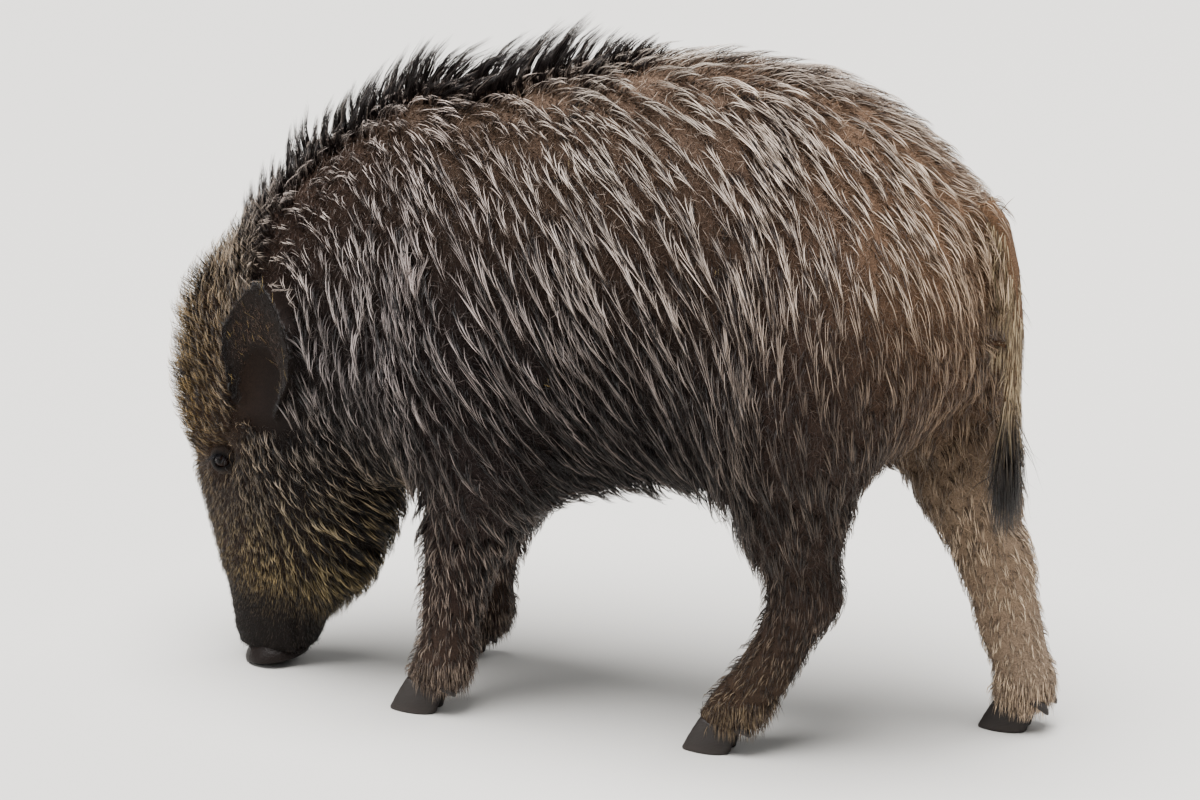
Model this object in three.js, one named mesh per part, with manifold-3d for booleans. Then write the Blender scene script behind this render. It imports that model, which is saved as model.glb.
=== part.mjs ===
// A wild boar, life size: a still museum model that stands with its head lowered to root.
// Millimetres, +Z up, head towards -X, the animal's left side towards -Y, the floor at Z 0.
// The solids hold the outer shape of the coat. The body is one implicit surface, which is
// turned into triangles and then parted into head, neck, trunk and legs by thin flat cuts.
import * as THREE from "three";
import Module from "manifold-3d";
import { mergeVertices } from "three/addons/utils/BufferGeometryUtils.js";

const wasm = await Module();
wasm.setup();

// ---------- driving dimensions ----------
const PART_GAP = 0.4; // between neighbouring pieces
// Sizes of the cells that carry the surface.
const CELL = { torso: [58, 46, 50], head: [22.5, 22.5, 28], leg: [22, 22, 42] };

// The trunk from chest to rump: height of back and belly above the floor, and half the width.
const TRUNK = [
  { at: -350, top: 600, bottom: 345, side: 95 },
  { at: -270, top: 672, bottom: 300, side: 132 },
  { at: -170, top: 738, bottom: 276, side: 158 },
  { at: -60, top: 784, bottom: 272, side: 170 },
  { at: 60, top: 811, bottom: 276, side: 178 },
  { at: 180, top: 819, bottom: 292, side: 178 },
  { at: 290, top: 803, bottom: 325, side: 166 },
  { at: 385, top: 752, bottom: 368, side: 142 },
  { at: 445, top: 690, bottom: 425, side: 108 },
];
const TRUNK_END = { front: 60, back: 36 }; // how far the rounded ends run past the stations

// The neck, measured from its axis: the nape above it and the throat below it.
const NECK_FROM = [-150, 0, 540];
const NECK_TO = [-425, 0, 415];
const NECK = [
  { at: 0, top: 204, bottom: -225, side: 146 },
  { at: 140, top: 166, bottom: -190, side: 124 },
  { at: 302, top: 108, bottom: -130, side: 88 },
];

// The head, measured from an axis that runs from the poll down to the snout disc.
const HEAD_FROM = [-432, 0, 445];
const HEAD_TO = [-415, 0, 26];
const HEAD = [
  { at: 0, top: 84, bottom: -120, side: 78 },
  { at: 60, top: 108, bottom: -165, side: 94 },
  { at: 120, top: 110, bottom: -176, side: 106 },
  { at: 175, top: 97, bottom: -172, side: 108 },
  { at: 240, top: 87, bottom: -160, side: 96 },
  { at: 300, top: 76, bottom: -132, side: 72 },
  { at: 350, top: 68, bottom: -96, side: 52 },
  { at: 390, top: 63, bottom: -60, side: 42 },
  { at: 412, top: 58, bottom: -44, side: 41 },
];

// Legs as chains of joints: place, and the radius of the leg with its coat there.
const LEGS = {
  foreleg_left: [
    { at: [-150, -100, 430], r: 98 },
    { at: [-95, -112, 320], r: 82 },
    { at: [-135, -102, 225], r: 55 },
    { at: [-153, -96, 140], r: 39 },
    { at: [-158, -93, 72], r: 37 },
    { at: [-186, -92, 38], r: 32 },
  ],
  foreleg_right: [
    { at: [-150, 100, 430], r: 98 },
    { at: [-95, 112, 320], r: 82 },
    { at: [-148, 102, 225], r: 55 },
    { at: [-176, 96, 140], r: 39 },
    { at: [-178, 93, 72], r: 37 },
    { at: [-204, 92, 38], r: 32 },
  ],
  hindleg_left: [
    { at: [345, -88, 560], r: 118 },
    { at: [270, -112, 410], r: 104 },
    { at: [272, -104, 300], r: 70 },
    { at: [291, -98, 210], r: 46 },
    { at: [244, -95, 110], r: 37 },
    { at: [212, -93, 66], r: 36 },
    { at: [184, -92, 38], r: 32 },
  ],
  hindleg_right: [
    { at: [350, 88, 560], r: 118 },
    { at: [380, 112, 420], r: 100 },
    { at: [422, 104, 300], r: 70 },
    { at: [464, 98, 200], r: 46 },
    { at: [484, 95, 120], r: 39 },
    { at: [506, 93, 64], r: 36 },
    { at: [492, 92, 38], r: 32 },
  ],
};
const BLEND = { neck: 90, head: 60, leg: 60, joint: 22 }; // how softly the masses run together

const EYE = { at: 169, up: 27, out: 70, r: 12.5 }; // along, above and beside the head's axis
const ORBIT = { r: 26, depth: 9 }; // the hollow in the coat round each eye
const DISC = { from: 410, face: 440, up: 7, wide: 41, deep: 39, lean: 0.13 }; // the snout disc
const NOSTRIL = { up: 4, out: 14, wide: 6, deep: 8, depth: 12 };

// Flat cuts that part the body: a point on each, and its normal.
const CUTS = {
  skull: { at: [-322, 0, 415], normal: [0.915, 0, 0.403] },
  neck: { at: [-213, 0, 500], normal: [1, 0, 0] },
  shoulder: { at: [-10, 0, 500], normal: [1, 0, 0] },
  loin: { at: [215, 0, 500], normal: [1, 0, 0] },
  legs: { at: [0, 0, 243], normal: [0, 0, 1] },
  feet: { at: [0, 0, 94], normal: [0, 0, 1] },
};
const MUZZLE_AT = 252; // along the head's axis
const MOUTH = { at: 400, up: -36, slope: 0.16 }; // the line between the jaws

// Hooves: a pair of claws under each foot, and a pair of dewclaws behind it.
const HOOF = { long: 60, wide: 27, high: 32, rake: 14, slope: 0.26, apart: 1.6, spread: 0.06 };
const DEWCLAW = { long: 26, r: 8.5, up: 44, back: 30, apart: 17 };

// The ears stand up from the sides of the crown with their hollow side outwards.
const EAR = { at: 84, up: -39, out: 108, long: 174 };
const EAR_AXIS = [0.14, -0.24, 1]; // for the left ear
const EAR_OPENS = [-0.2, -0.96, 0]; // where the left ear's hollow side looks
const EAR_SHAPE = [
  { at: 0, wide: 56, cup: 22, thick: 16 },
  { at: 0.16, wide: 76, cup: 24, thick: 13 },
  { at: 0.36, wide: 99, cup: 20, thick: 11 },
  { at: 0.56, wide: 100, cup: 15, thick: 10 },
  { at: 0.76, wide: 74, cup: 9, thick: 9 },
  { at: 0.91, wide: 42, cup: 4, thick: 8 },
  { at: 1, wide: 14, cup: 1, thick: 6 },
];

// The mane: its crest from the brow to the back, how deep it stands, and its width at the foot.
const MANE = [
  { at: [-540, 372], deep: 18, wide: 50 },
  { at: [-533, 432], deep: 40, wide: 66 },
  { at: [-487, 540], deep: 70, wide: 74 },
  { at: [-411, 636], deep: 88, wide: 78 },
  { at: [-325, 722], deep: 94, wide: 78 },
  { at: [-236, 777], deep: 90, wide: 76 },
  { at: [-129, 813], deep: 72, wide: 70 },
  { at: [-62, 831], deep: 60, wide: 64 },
  { at: [0, 829], deep: 36, wide: 54 },
  { at: [60, 819], deep: 16, wide: 40 },
];

// The tail hangs down the cleft of the rump.
const TAIL = [
  { at: [462, 672], r: 18 },
  { at: [484, 640], r: 20 },
  { at: [497, 590], r: 19 },
  { at: [505, 530], r: 17 },
  { at: [503, 460], r: 17 },
  { at: [499, 400], r: 20 },
  { at: [497, 355], r: 17 },
  { at: [495, 322], r: 5 },
];

const COLOURS = {
  coat: 0x5b4b3a,
  face: 0x6b5a45,
  leg: 0x4f4336,
  mane: 0x2a221c,
  ear: 0x4a3a30,
  snout: 0x1d1a19,
  horn: 0x2b2622,
  eye: 0x0c0908,
};

// ---------- small maths ----------
const lerp = (a, b, t) => a + (b - a) * t;
const clamp = (x, lo, hi) => Math.min(hi, Math.max(lo, x));

// Polynomial smooth minimum: two masses run together over a width k.
function soften(a, b, k) {
  const h = Math.max(k - Math.abs(a - b), 0) / k;
  return Math.min(a, b) - (h * h * k) / 4;
}

// Reads a table of stations at one place, on a Catmull-Rom curve through them.
function readStations(stations, at, key) {
  const last = stations.length - 1;
  const x = clamp(at, stations[0].at, stations[last].at);
  let i = 0;
  while (i < last - 1 && x > stations[i + 1].at) i++;
  const [p0, p1, p2, p3] = [i - 1, i, i + 1, i + 2].map((j) => stations[clamp(j, 0, last)]);
  const span = p2.at - p1.at;
  const t = (x - p1.at) / span;
  const m1 = i > 0 ? ((p2[key] - p0[key]) / (p2.at - p0.at)) * span : p2[key] - p1[key];
  const m2 = i < last - 1 ? ((p3[key] - p1[key]) / (p3.at - p1.at)) * span : p2[key] - p1[key];
  const t2 = t * t;
  const t3 = t2 * t;
  return (
    (2 * t3 - 3 * t2 + 1) * p1[key] +
    (t3 - 2 * t2 + t) * m1 +
    (3 * t2 - 2 * t3) * p2[key] +
    (t3 - t2) * m2
  );
}

// A right-handed frame in the animal's middle plane: ahead runs along the axis, dorsal beside it.
function frameOf(from, to, upHint) {
  const origin = new THREE.Vector3(...from);
  const ahead = new THREE.Vector3(...to).sub(origin);
  const length = ahead.length();
  ahead.normalize();
  const hint = new THREE.Vector3(...upHint);
  const dorsal = hint.addScaledVector(ahead, -ahead.dot(hint)).normalize();
  return { origin, ahead, dorsal, length };
}

// A point given along, above and beside an axis, in the part's own frame.
function placeIn(frame, along, up, out) {
  return frame.origin
    .clone()
    .addScaledVector(frame.ahead, along)
    .addScaledVector(frame.dorsal, up)
    .add(new THREE.Vector3(0, out, 0));
}

// ---------- fields: about the distance to each mass, negative inside ----------
// A body of oval sections along an axis. Sections narrow towards the top by taper.
function sectionBody(frame, stations, { taper = 0, power = 2.2, before = 60, after = 60 }) {
  const { origin, ahead, dorsal } = frame;
  const first = stations[0].at;
  const last = stations[stations.length - 1].at;
  return (x, y, z) => {
    const dx = x - origin.x;
    const dz = z - origin.z;
    const along = dx * ahead.x + dz * ahead.z;
    const up = dx * dorsal.x + dz * dorsal.z;
    const top = readStations(stations, along, "top");
    const bottom = readStations(stations, along, "bottom");
    const half = (top - bottom) / 2;
    const rise = clamp((up - (top + bottom) / 2) / half, -1.3, 1.3);
    const side = readStations(stations, along, "side") * (1 - taper * rise);
    const past = along < first ? (first - along) / before : along > last ? (along - last) / after : 0;
    const oval = Math.abs(y / side) ** power + Math.abs(rise) ** power + past ** power;
    return (oval ** (1 / power) - 1) * Math.min(side, half);
  };
}

// A leg: round cones from joint to joint, a little flatter from side to side.
function limbBody(joints) {
  const FLAT = 0.88;
  return (x, y, z) => {
    let d = Infinity;
    for (let i = 0; i < joints.length - 1; i++) {
      const [ax, ay, az] = joints[i].at;
      const [bx, by, bz] = joints[i + 1].at;
      const [ux, uy, uz] = [bx - ax, by - ay, bz - az];
      const [px, py, pz] = [x - ax, y - ay, z - az];
      const t = clamp((px * ux + py * uy + pz * uz) / (ux * ux + uy * uy + uz * uz), 0, 1);
      const gap = Math.hypot(px - ux * t, (py - uy * t) / FLAT, pz - uz * t);
      d = soften(d, gap - lerp(joints[i].r, joints[i + 1].r, t), BLEND.joint);
    }
    return d;
  };
}

const headFrame = frameOf(HEAD_FROM, HEAD_TO, [-1, 0, 0]);
const neckFrame = frameOf(NECK_FROM, NECK_TO, [0, 0, 1]);
const trunkFrame = frameOf([0, 0, 0], [1, 0, 0], [0, 0, 1]);
const trunk = sectionBody(trunkFrame, TRUNK, {
  taper: 0.12,
  before: TRUNK_END.front,
  after: TRUNK_END.back,
});
const neck = sectionBody(neckFrame, NECK, { taper: 0.14, before: 80, after: 60 });
const head = sectionBody(headFrame, HEAD, { taper: 0.2, before: 40, after: 14 });
const limbs = Object.fromEntries(Object.entries(LEGS).map(([name, joints]) => [name, limbBody(joints)]));

// The whole body: the head runs into the neck, and the legs into the trunk, never into each other.
const core = (x, y, z) => soften(trunk(x, y, z), neck(x, y, z), BLEND.neck);
const oneLeg = (name) => (x, y, z) => soften(core(x, y, z), limbs[name](x, y, z), BLEND.leg);
function body(x, y, z) {
  const middle = core(x, y, z);
  let d = soften(middle, head(x, y, z), BLEND.head);
  for (const limb of Object.values(limbs)) d = Math.min(d, soften(middle, limb(x, y, z), BLEND.leg));
  return d;
}

// Head and neck without the legs, with a shallow hollow in the coat round each eye.
function headAndNeck(x, y, z) {
  const eye = placeIn(headFrame, EYE.at, EYE.up, Math.sign(y) * EYE.out);
  const near = Math.hypot(x - eye.x, (y - eye.y) * 0.7, z - eye.z) / ORBIT.r;
  const whole = soften(core(x, y, z), head(x, y, z), BLEND.head);
  return whole + ORBIT.depth * Math.exp(-near * near);
}

// ---------- from field to triangles ----------
// A grid of field values whose border counts as outside, so that every surface closes.
function sampleGrid(field, low, high, cell) {
  const size = low.map((v, m) => Math.ceil((high[m] - v) / cell[m]) + 1);
  const place = (p) => p.map((v, m) => low[m] + v * cell[m]);
  const index = (p) => (p[2] * size[1] + p[1]) * size[0] + p[0];
  const value = new Float64Array(size[0] * size[1] * size[2]);
  forEachCell([0, 0, 0], size, (p) => {
    const border = p.some((v, m) => v === 0 || v === size[m] - 1);
    value[index(p)] = border ? cell[0] : field(...place(p)) || 1e-6;
  });
  return { size, place, index, value, cell };
}

function forEachCell(from, to, visit) {
  for (let k = from[2]; k < to[2]; k++) {
    for (let j = from[1]; j < to[1]; j++) {
      for (let i = from[0]; i < to[0]; i++) visit([i, j, k]);
    }
  }
}

// A cell has eight corners, numbered by their bits, and an edge is a corner and an axis.
const AXES = [0, 1, 2];
const cornerOf = (p, corner) => p.map((v, m) => v + ((corner >> m) & 1));
const edgeId = (corner, axis) => corner * 3 + axis;
const CELL_EDGES = [0, 1, 2, 3, 4, 5, 6, 7].flatMap((corner) =>
  AXES.filter((axis) => !(corner & (1 << axis))).map((axis) => ({ corner, axis })),
);

// The corners and edges round each of a cell's six faces, in order.
const CELL_FACES = AXES.flatMap((axis) =>
  [0, 1].map((side) => {
    const [u, v] = [(axis + 1) % 3, (axis + 2) % 3];
    const base = side << axis;
    const ring = [base, base | (1 << u), base | (1 << u) | (1 << v), base | (1 << v)];
    const edges = [edgeId(ring[0], u), edgeId(ring[1], v), edgeId(ring[3], u), edgeId(ring[0], v)];
    return { ring, edges };
  }),
);

// The sheets of surface that pass through a cell, each as the list of edges it crosses.
function sheetsIn(values) {
  const sheet = new Map();
  for (const { corner, axis } of CELL_EDGES)
    if (values[corner] > 0 !== values[corner | (1 << axis)] > 0) {
      const id = edgeId(corner, axis);
      sheet.set(id, id);
    }
  const join = (a, b) => {
    const [from, to] = [sheet.get(a), sheet.get(b)];
    for (const [id, s] of sheet) if (s === from) sheet.set(id, to);
  };
  for (const { ring, edges } of CELL_FACES) {
    const crossed = edges.filter((id) => sheet.has(id));
    if (crossed.length === 2) join(...crossed);
    if (crossed.length !== 4) continue;
    ring.forEach((corner, i) => values[corner] <= 0 && join(edges[(i + 3) % 4], edges[i]));
  }
  return Map.groupBy(sheet.keys(), (id) => sheet.get(id)).values();
}

// One vertex on each sheet in each cell, and one quad at each grid edge that the surface crosses.
function polygonise(field, low, high, cell) {
  const grid = sampleGrid(field, low, high, cell);
  const positions = [];
  const vertexOf = new Map();
  forEachCell([0, 0, 0], grid.size.map((v) => v - 1), (p) => {
    const values = [0, 1, 2, 3, 4, 5, 6, 7].map((c) => grid.value[grid.index(cornerOf(p, c))]);
    if (values.every((v) => v > 0) || values.every((v) => v <= 0)) return;
    for (const edges of sheetsIn(values)) {
      for (const id of edges) vertexOf.set(grid.index(p) * 24 + id, positions.length / 3);
      positions.push(...pullOnto(field, middleOf(grid, p, values, edges), Math.min(...cell)));
    }
  });
  const triangles = [];
  forEachCell([0, 0, 0], grid.size.map((v) => v - 1), (p) => {
    for (const axis of AXES) {
      const inside = grid.value[grid.index(p)] <= 0;
      if (inside === grid.value[grid.index(cornerOf(p, 1 << axis))] <= 0) continue;
      const ring = ringAround(grid, vertexOf, p, axis);
      triangles.push(...splitQuad(positions, inside ? ring : ring.reverse()));
    }
  });
  return solidFrom(positions, triangles);
}

// The mean of the points where a sheet crosses the cell's edges.
function middleOf(grid, p, values, edges) {
  const sum = [0, 0, 0];
  for (const id of edges) {
    const corner = Math.floor(id / 3);
    const axis = id % 3;
    const t = values[corner] / (values[corner] - values[corner | (1 << axis)]);
    grid.place(cornerOf(p, corner)).forEach((v, m) => (sum[m] += v + (m === axis ? t * grid.cell[m] : 0)));
  }
  return sum.map((v) => v / edges.length);
}

// The vertices of the four cells that share a grid edge.
function ringAround(grid, vertexOf, p, axis) {
  const [u, v] = [(axis + 1) % 3, (axis + 2) % 3];
  return [[0, 0], [1, 0], [1, 1], [0, 1]].map(([du, dv]) => {
    const q = p.slice();
    q[u] -= du;
    q[v] -= dv;
    return vertexOf.get(grid.index(q) * 24 + edgeId((du << u) | (dv << v), axis));
  });
}

// Moves a point down the field's slope onto the surface, unless it lies on the grid's own border.
function pullOnto(field, point, cell) {
  let p = point;
  for (let step = 0; step < 3; step++) {
    const h = 0.5;
    const d = field(...p);
    if (Math.abs(d) > cell * 0.7) return p;
    const slope = [0, 1, 2].map((m) => {
      const q = p.slice();
      q[m] += h;
      return (field(...q) - d) / h;
    });
    const size = slope[0] ** 2 + slope[1] ** 2 + slope[2] ** 2;
    p = p.map((v, m) => v - clamp((d * slope[m]) / Math.max(size, 1e-6), -cell / 3, cell / 3));
  }
  return p;
}

// Two triangles from a quad, cut along its shorter diagonal.
function splitQuad(positions, [a, b, c, d]) {
  const apart = (p, q) =>
    Math.hypot(...[0, 1, 2].map((m) => positions[3 * p + m] - positions[3 * q + m]));
  return apart(a, c) < apart(b, d) ? [a, b, c, a, c, d] : [a, b, d, b, c, d];
}

// ---------- solids and meshes ----------
// A solid from coordinates and triangles.
function solidFrom(positions, triangles) {
  return new wasm.Manifold(
    new wasm.Mesh({
      numProp: 3,
      vertProperties: new Float32Array(positions),
      triVerts: new Uint32Array(triangles),
    }),
  );
}

// The solid inside a mesh's triangles.
function solidOf(geometry) {
  const bare = geometry.clone();
  bare.deleteAttribute("normal");
  bare.deleteAttribute("uv");
  const merged = mergeVertices(bare, 1e-3);
  return solidFrom(merged.attributes.position.array, merged.index.array);
}

// The triangles of a solid's surface.
function geometryOf(solid) {
  const mesh = solid.getMesh();
  const vertices = new Float32Array(mesh.numVert * 3);
  for (let i = 0; i < mesh.numVert; i++)
    vertices.set(mesh.vertProperties.subarray(i * mesh.numProp, i * mesh.numProp + 3), i * 3);
  const geometry = new THREE.BufferGeometry();
  geometry.setAttribute("position", new THREE.BufferAttribute(vertices, 3));
  geometry.setIndex(new THREE.BufferAttribute(mesh.triVerts, 1));
  geometry.computeVertexNormals();
  return geometry;
}

// The largest body of a solid, without the crumbs that a cut can leave.
function largest(solid) {
  return solid.decompose().sort((a, b) => b.volume() - a.volume())[0];
}

// All that lies on one side of a cut, as a very large box. Side 1 is where the normal points.
function beside({ at, normal }, side) {
  const REACH = 4000;
  const away = new THREE.Vector3(...normal).normalize().multiplyScalar(side);
  const box = new THREE.BoxGeometry(REACH, REACH, REACH);
  const turn = new THREE.Quaternion().setFromUnitVectors(new THREE.Vector3(0, 0, 1), away);
  const middle = new THREE.Vector3(...at).addScaledVector(away, (REACH + PART_GAP) / 2);
  box.applyMatrix4(new THREE.Matrix4().compose(middle, turn, new THREE.Vector3(1, 1, 1)));
  return solidOf(box);
}

const keep = (solid, ...regions) => largest(regions.reduce((s, region) => s.intersect(region), solid));

// A closed skin over a row of rings with as many points each, as a solid.
function loft(rings) {
  const count = rings[0].length;
  const positions = rings.flat().flat();
  const triangles = [];
  for (let row = 0; row < rings.length - 1; row++)
    for (let i = 0; i < count; i++) {
      const [a, b] = [row * count + i, row * count + ((i + 1) % count)];
      triangles.push(a, b, b + count, a, b + count, a + count);
    }
  for (const [row, turn] of [[0, 1], [rings.length - 1, 0]]) {
    const hub = positions.length / 3;
    positions.push(...AXES.map((m) => rings[row].reduce((sum, p) => sum + p[m], 0) / count));
    for (let i = 0; i < count; i++) {
      const [a, b] = [row * count + i, row * count + ((i + 1) % count)];
      triangles.push(hub, turn ? b : a, turn ? a : b);
    }
  }
  const solid = solidFrom(positions, triangles);
  return solid.volume() > 0 ? solid : solidFrom(positions, triangles.reverse());
}

const circle = (count) => Array.from({ length: count }, (_, i) => (i / count) * 2 * Math.PI);

// ---------- the body's pieces ----------
const region = Object.fromEntries(
  Object.entries(CUTS).map(([name, cut]) => [name, { before: beside(cut, -1), after: beside(cut, 1) }]),
);
const acrossHead = (along, side) =>
  beside({ at: placeIn(headFrame, along, 0, 0).toArray(), normal: headFrame.ahead.toArray() }, side);
const mouthSide = (side) => {
  const at = placeIn(headFrame, MOUTH.at, MOUTH.up, 0).toArray();
  const normal = headFrame.dorsal.clone().addScaledVector(headFrame.ahead, -MOUTH.slope).toArray();
  return beside({ at, normal }, side);
};

function torsoPieces() {
  const all = polygonise(body, [-476, -238, 204], [544, 238, 850], CELL.torso);
  const high = all.intersect(region.legs.after);
  return {
    neck: keep(high, region.skull.after, region.neck.before),
    forequarters: keep(high, region.neck.after, region.shoulder.before),
    barrel: keep(high, region.shoulder.after, region.loin.before),
    hindquarters: keep(high, region.loin.after),
  };
}

function headPieces() {
  const all = polygonise(headAndNeck, [-578, -144, 2], [-194, 144, 626], CELL.head);
  const face = all.intersect(region.skull.before);
  const front = face.intersect(acrossHead(MUZZLE_AT, 1)).intersect(acrossHead(DISC.from, -1));
  const sockets = [-1, 1].map((side) => eyeball(side, EYE.r + PART_GAP));
  return {
    head: keep(face, acrossHead(MUZZLE_AT, -1)).subtract(sockets[0]).subtract(sockets[1]),
    muzzle: keep(front, mouthSide(1)),
    lower_jaw: keep(front, mouthSide(-1)),
  };
}

function legPieces(name, joints) {
  const side = Math.sign(joints[0].at[1]);
  const low = joints.filter((j) => j.at[2] < 320).map((j) => j.at[0]);
  const from = [Math.min(...low) - 62, side < 0 ? -190 : 3, 4];
  const to = [Math.max(...low) + 90, side < 0 ? -3 : 190, 262];
  const all = polygonise(oneLeg(name), from, to, CELL.leg);
  const foot = joints[joints.length - 1].at;
  const coronet = { at: [foot[0], 0, HOOF.high], normal: [HOOF.slope, 0, 1] };
  return {
    [name]: keep(all, region.legs.before, region.feet.after),
    [name.replace("leg", "foot")]: keep(all, region.feet.before, beside(coronet, 1)),
  };
}

// ---------- hooves ----------
// One claw: D-shaped rings from the sole up to the sloping coronet, the flat side inwards.
function claw(foot, side) {
  const rows = [
    { h: 0, grow: 0.93 },
    { h: 0.1, grow: 1 },
    { h: 0.55, grow: 0.98 },
    { h: 1, grow: 0.9 },
  ];
  const rings = rows.map(({ h, grow }) =>
    circle(12).map((angle) => {
      const ahead = Math.cos(angle);
      const out = Math.sin(angle);
      const reach = ((HOOF.long * grow - 8 * h) / 2) * ahead;
      const half = (HOOF.wide / 2) * grow * (1 - 0.28 * ahead);
      const across = (out > 0 ? out : 0.62 * out) * half + HOOF.wide * 0.38 + HOOF.apart / 2;
      const x = foot[0] - 14 + HOOF.rake * h - reach;
      const y = foot[1] + side * (across + HOOF.spread * reach);
      const rim = HOOF.high - HOOF.slope * (x - foot[0]) - PART_GAP / 2;
      return [x, y, h * (rim - PART_GAP / 2)];
    }),
  );
  return loft(rings);
}

// One dewclaw: a short blunt horn that points down and back.
function dewclaw(foot, side) {
  const rows = [
    { at: -0.3, r: 0.8 },
    { at: 0.35, r: 1 },
    { at: 0.8, r: 0.7 },
    { at: 1, r: 0.25 },
  ];
  const rings = rows.map(({ at, r }) =>
    circle(6).map((angle) => {
      const along = DEWCLAW.long * at;
      const wide = DEWCLAW.r * r * Math.cos(angle);
      const deep = DEWCLAW.r * r * 0.8 * Math.sin(angle);
      return [
        foot[0] + DEWCLAW.back + along * 0.62 + deep * 0.7,
        foot[1] + side * (DEWCLAW.apart + along * 0.15) + wide,
        DEWCLAW.up - along * 0.7 + deep * 0.6,
      ];
    }),
  );
  return loft(rings);
}

function hoofPieces(name, joints, footSolid) {
  const foot = joints[joints.length - 1].at;
  const outward = Math.sign(foot[1]);
  const place = name.replace("leg_", "_");
  const pieces = {};
  for (const [where, side] of [["inner", -outward], ["outer", outward]]) {
    pieces[`hoof_${place}_${where}`] = claw(foot, side);
    pieces[`dewclaw_${place}_${where}`] = grownFrom(dewclaw(foot, side), [footSolid], [[1, 0, 0]]);
  }
  return pieces;
}

// ---------- snout, eyes, ears, mane and tail ----------
function snoutDisc() {
  const rows = [
    { at: DISC.from + PART_GAP, r: 0.9 },
    { at: DISC.from + 9, r: 1 },
    { at: DISC.face - 7, r: 1 },
    { at: DISC.face - 2, r: 0.96 },
    { at: DISC.face, r: 0.88 },
  ];
  const rings = rows.map(({ at, r }, row) =>
    circle(16).map((angle) => {
      const up = DISC.deep * r * Math.cos(angle) + DISC.up;
      const out = DISC.wide * r * Math.sin(angle);
      return placeIn(headFrame, at + (row ? up * DISC.lean : 0), up, out).toArray();
    }),
  );
  return [-1, 1].reduce((disc, side) => disc.subtract(nostril(side)), loft(rings));
}

function nostril(side) {
  const rings = [-1, 0.6].map((end) =>
    circle(8).map((angle) => {
      const up = NOSTRIL.up + NOSTRIL.deep * Math.cos(angle) * (0.75 - 0.25 * end);
      const out = side * (NOSTRIL.out + NOSTRIL.wide * Math.sin(angle));
      return placeIn(headFrame, DISC.face + NOSTRIL.depth * end, up, out).toArray();
    }),
  );
  return loft(rings);
}

function eyeball(side, r) {
  const ball = new THREE.SphereGeometry(r, 10, 6);
  const at = placeIn(headFrame, EYE.at, EYE.up, side * EYE.out);
  return solidOf(ball.rotateX(Math.PI / 2).translate(at.x, at.y, at.z));
}

// A cupped leaf: each ring runs out along the back of the ear and home along the hollow side.
function ear(side) {
  const foot = placeIn(headFrame, EAR.at, EAR.up, side * EAR.out);
  const mirror = new THREE.Vector3(1, -side, 1);
  const axis = new THREE.Vector3(...EAR_AXIS).multiply(mirror).normalize();
  const opens = new THREE.Vector3(...EAR_OPENS).multiply(mirror);
  opens.addScaledVector(axis, -opens.dot(axis)).normalize();
  const across = new THREE.Vector3().crossVectors(axis, opens);
  const steps = [-1, -0.6, -0.2, 0.2, 0.6, 1];
  const rings = EAR_SHAPE.map(({ at, wide, cup, thick }) => {
    const point = (u, face) => {
      const hollow = cup * (u * u - 0.6) + face * thick * 0.5 * (1 - 0.55 * u * u);
      return foot
        .clone()
        .addScaledVector(axis, EAR.long * at - 8)
        .addScaledVector(across, (wide / 2) * u)
        .addScaledVector(opens, hollow)
        .toArray();
    };
    return [...steps.map((u) => point(u, -1)), ...steps.toReversed().map((u) => point(u, 1))];
  });
  return loft(rings);
}

// Rings across a path in the middle plane. Shape gives each ring's points as [out, up] pairs.
function along(path, shape) {
  const rings = path.map((station, i) => {
    const [before, after] = [path[Math.max(i - 1, 0)], path[Math.min(i + 1, path.length - 1)]];
    const run = new THREE.Vector2(after.at[0] - before.at[0], after.at[1] - before.at[1]).normalize();
    return shape(station).map(([out, up]) => [
      station.at[0] - run.y * up,
      out,
      station.at[1] + run.x * up,
    ]);
  });
  return loft(rings);
}

const maneRidge = () =>
  along(MANE, ({ deep, wide }) => [
    [0, 0],
    [wide * 0.34, -deep * 0.5],
    [wide * 0.42, -deep - 26],
    [-wide * 0.42, -deep - 26],
    [-wide * 0.34, -deep * 0.5],
  ]);
const tailRope = () =>
  along(TAIL, ({ r }) => circle(8).map((angle) => [r * Math.cos(angle), r * 0.85 * Math.sin(angle)]));

// Cuts the masses that a piece grows from out of it, with a gap on the sides that steps names.
function grownFrom(piece, masses, steps) {
  const moved = steps.map((step) => step.map((v) => v * PART_GAP * 1.3));
  const cutters = masses.flatMap((mass) => moved.map((step) => mass.translate(step)));
  return largest(cutters.reduce((solid, cutter) => solid.subtract(cutter), piece));
}

// ---------- the whole animal ----------
const torso = torsoPieces();
const skull = headPieces();
const pieces = { ...skull, ...torso };
for (const [name, joints] of Object.entries(LEGS)) {
  const leg = legPieces(name, joints);
  Object.assign(pieces, leg, hoofPieces(name, joints, leg[name.replace("leg", "foot")]));
}
pieces.snout_disc = snoutDisc();
const maneFoot = [skull.head, torso.neck, torso.forequarters, torso.barrel];
pieces.mane = grownFrom(maneRidge(), maneFoot, [[-1, 0, 0.2], [0.1, 0, 1]]);
pieces.tail = grownFrom(tailRope(), [torso.hindquarters], [[1, 0, 0.3]]);
for (const [where, side] of [["left", -1], ["right", 1]]) {
  pieces[`ear_${where}`] = grownFrom(ear(side), [skull.head, torso.neck], [[0, side, 0.5]]);
  pieces[`eye_${where}`] = eyeball(side, EYE.r);
}

const SURFACES = [
  [/^(eye)/, COLOURS.eye, 0.15],
  [/^(hoof|dewclaw)/, COLOURS.horn, 0.55],
  [/^snout/, COLOURS.snout, 0.5],
  [/^mane/, COLOURS.mane, 0.9],
  [/^ear/, COLOURS.ear, 0.9],
  [/^(head|muzzle|lower)/, COLOURS.face, 0.9],
  [/(leg|foot)_/, COLOURS.leg, 0.9],
  [/./, COLOURS.coat, 0.9],
];

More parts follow.
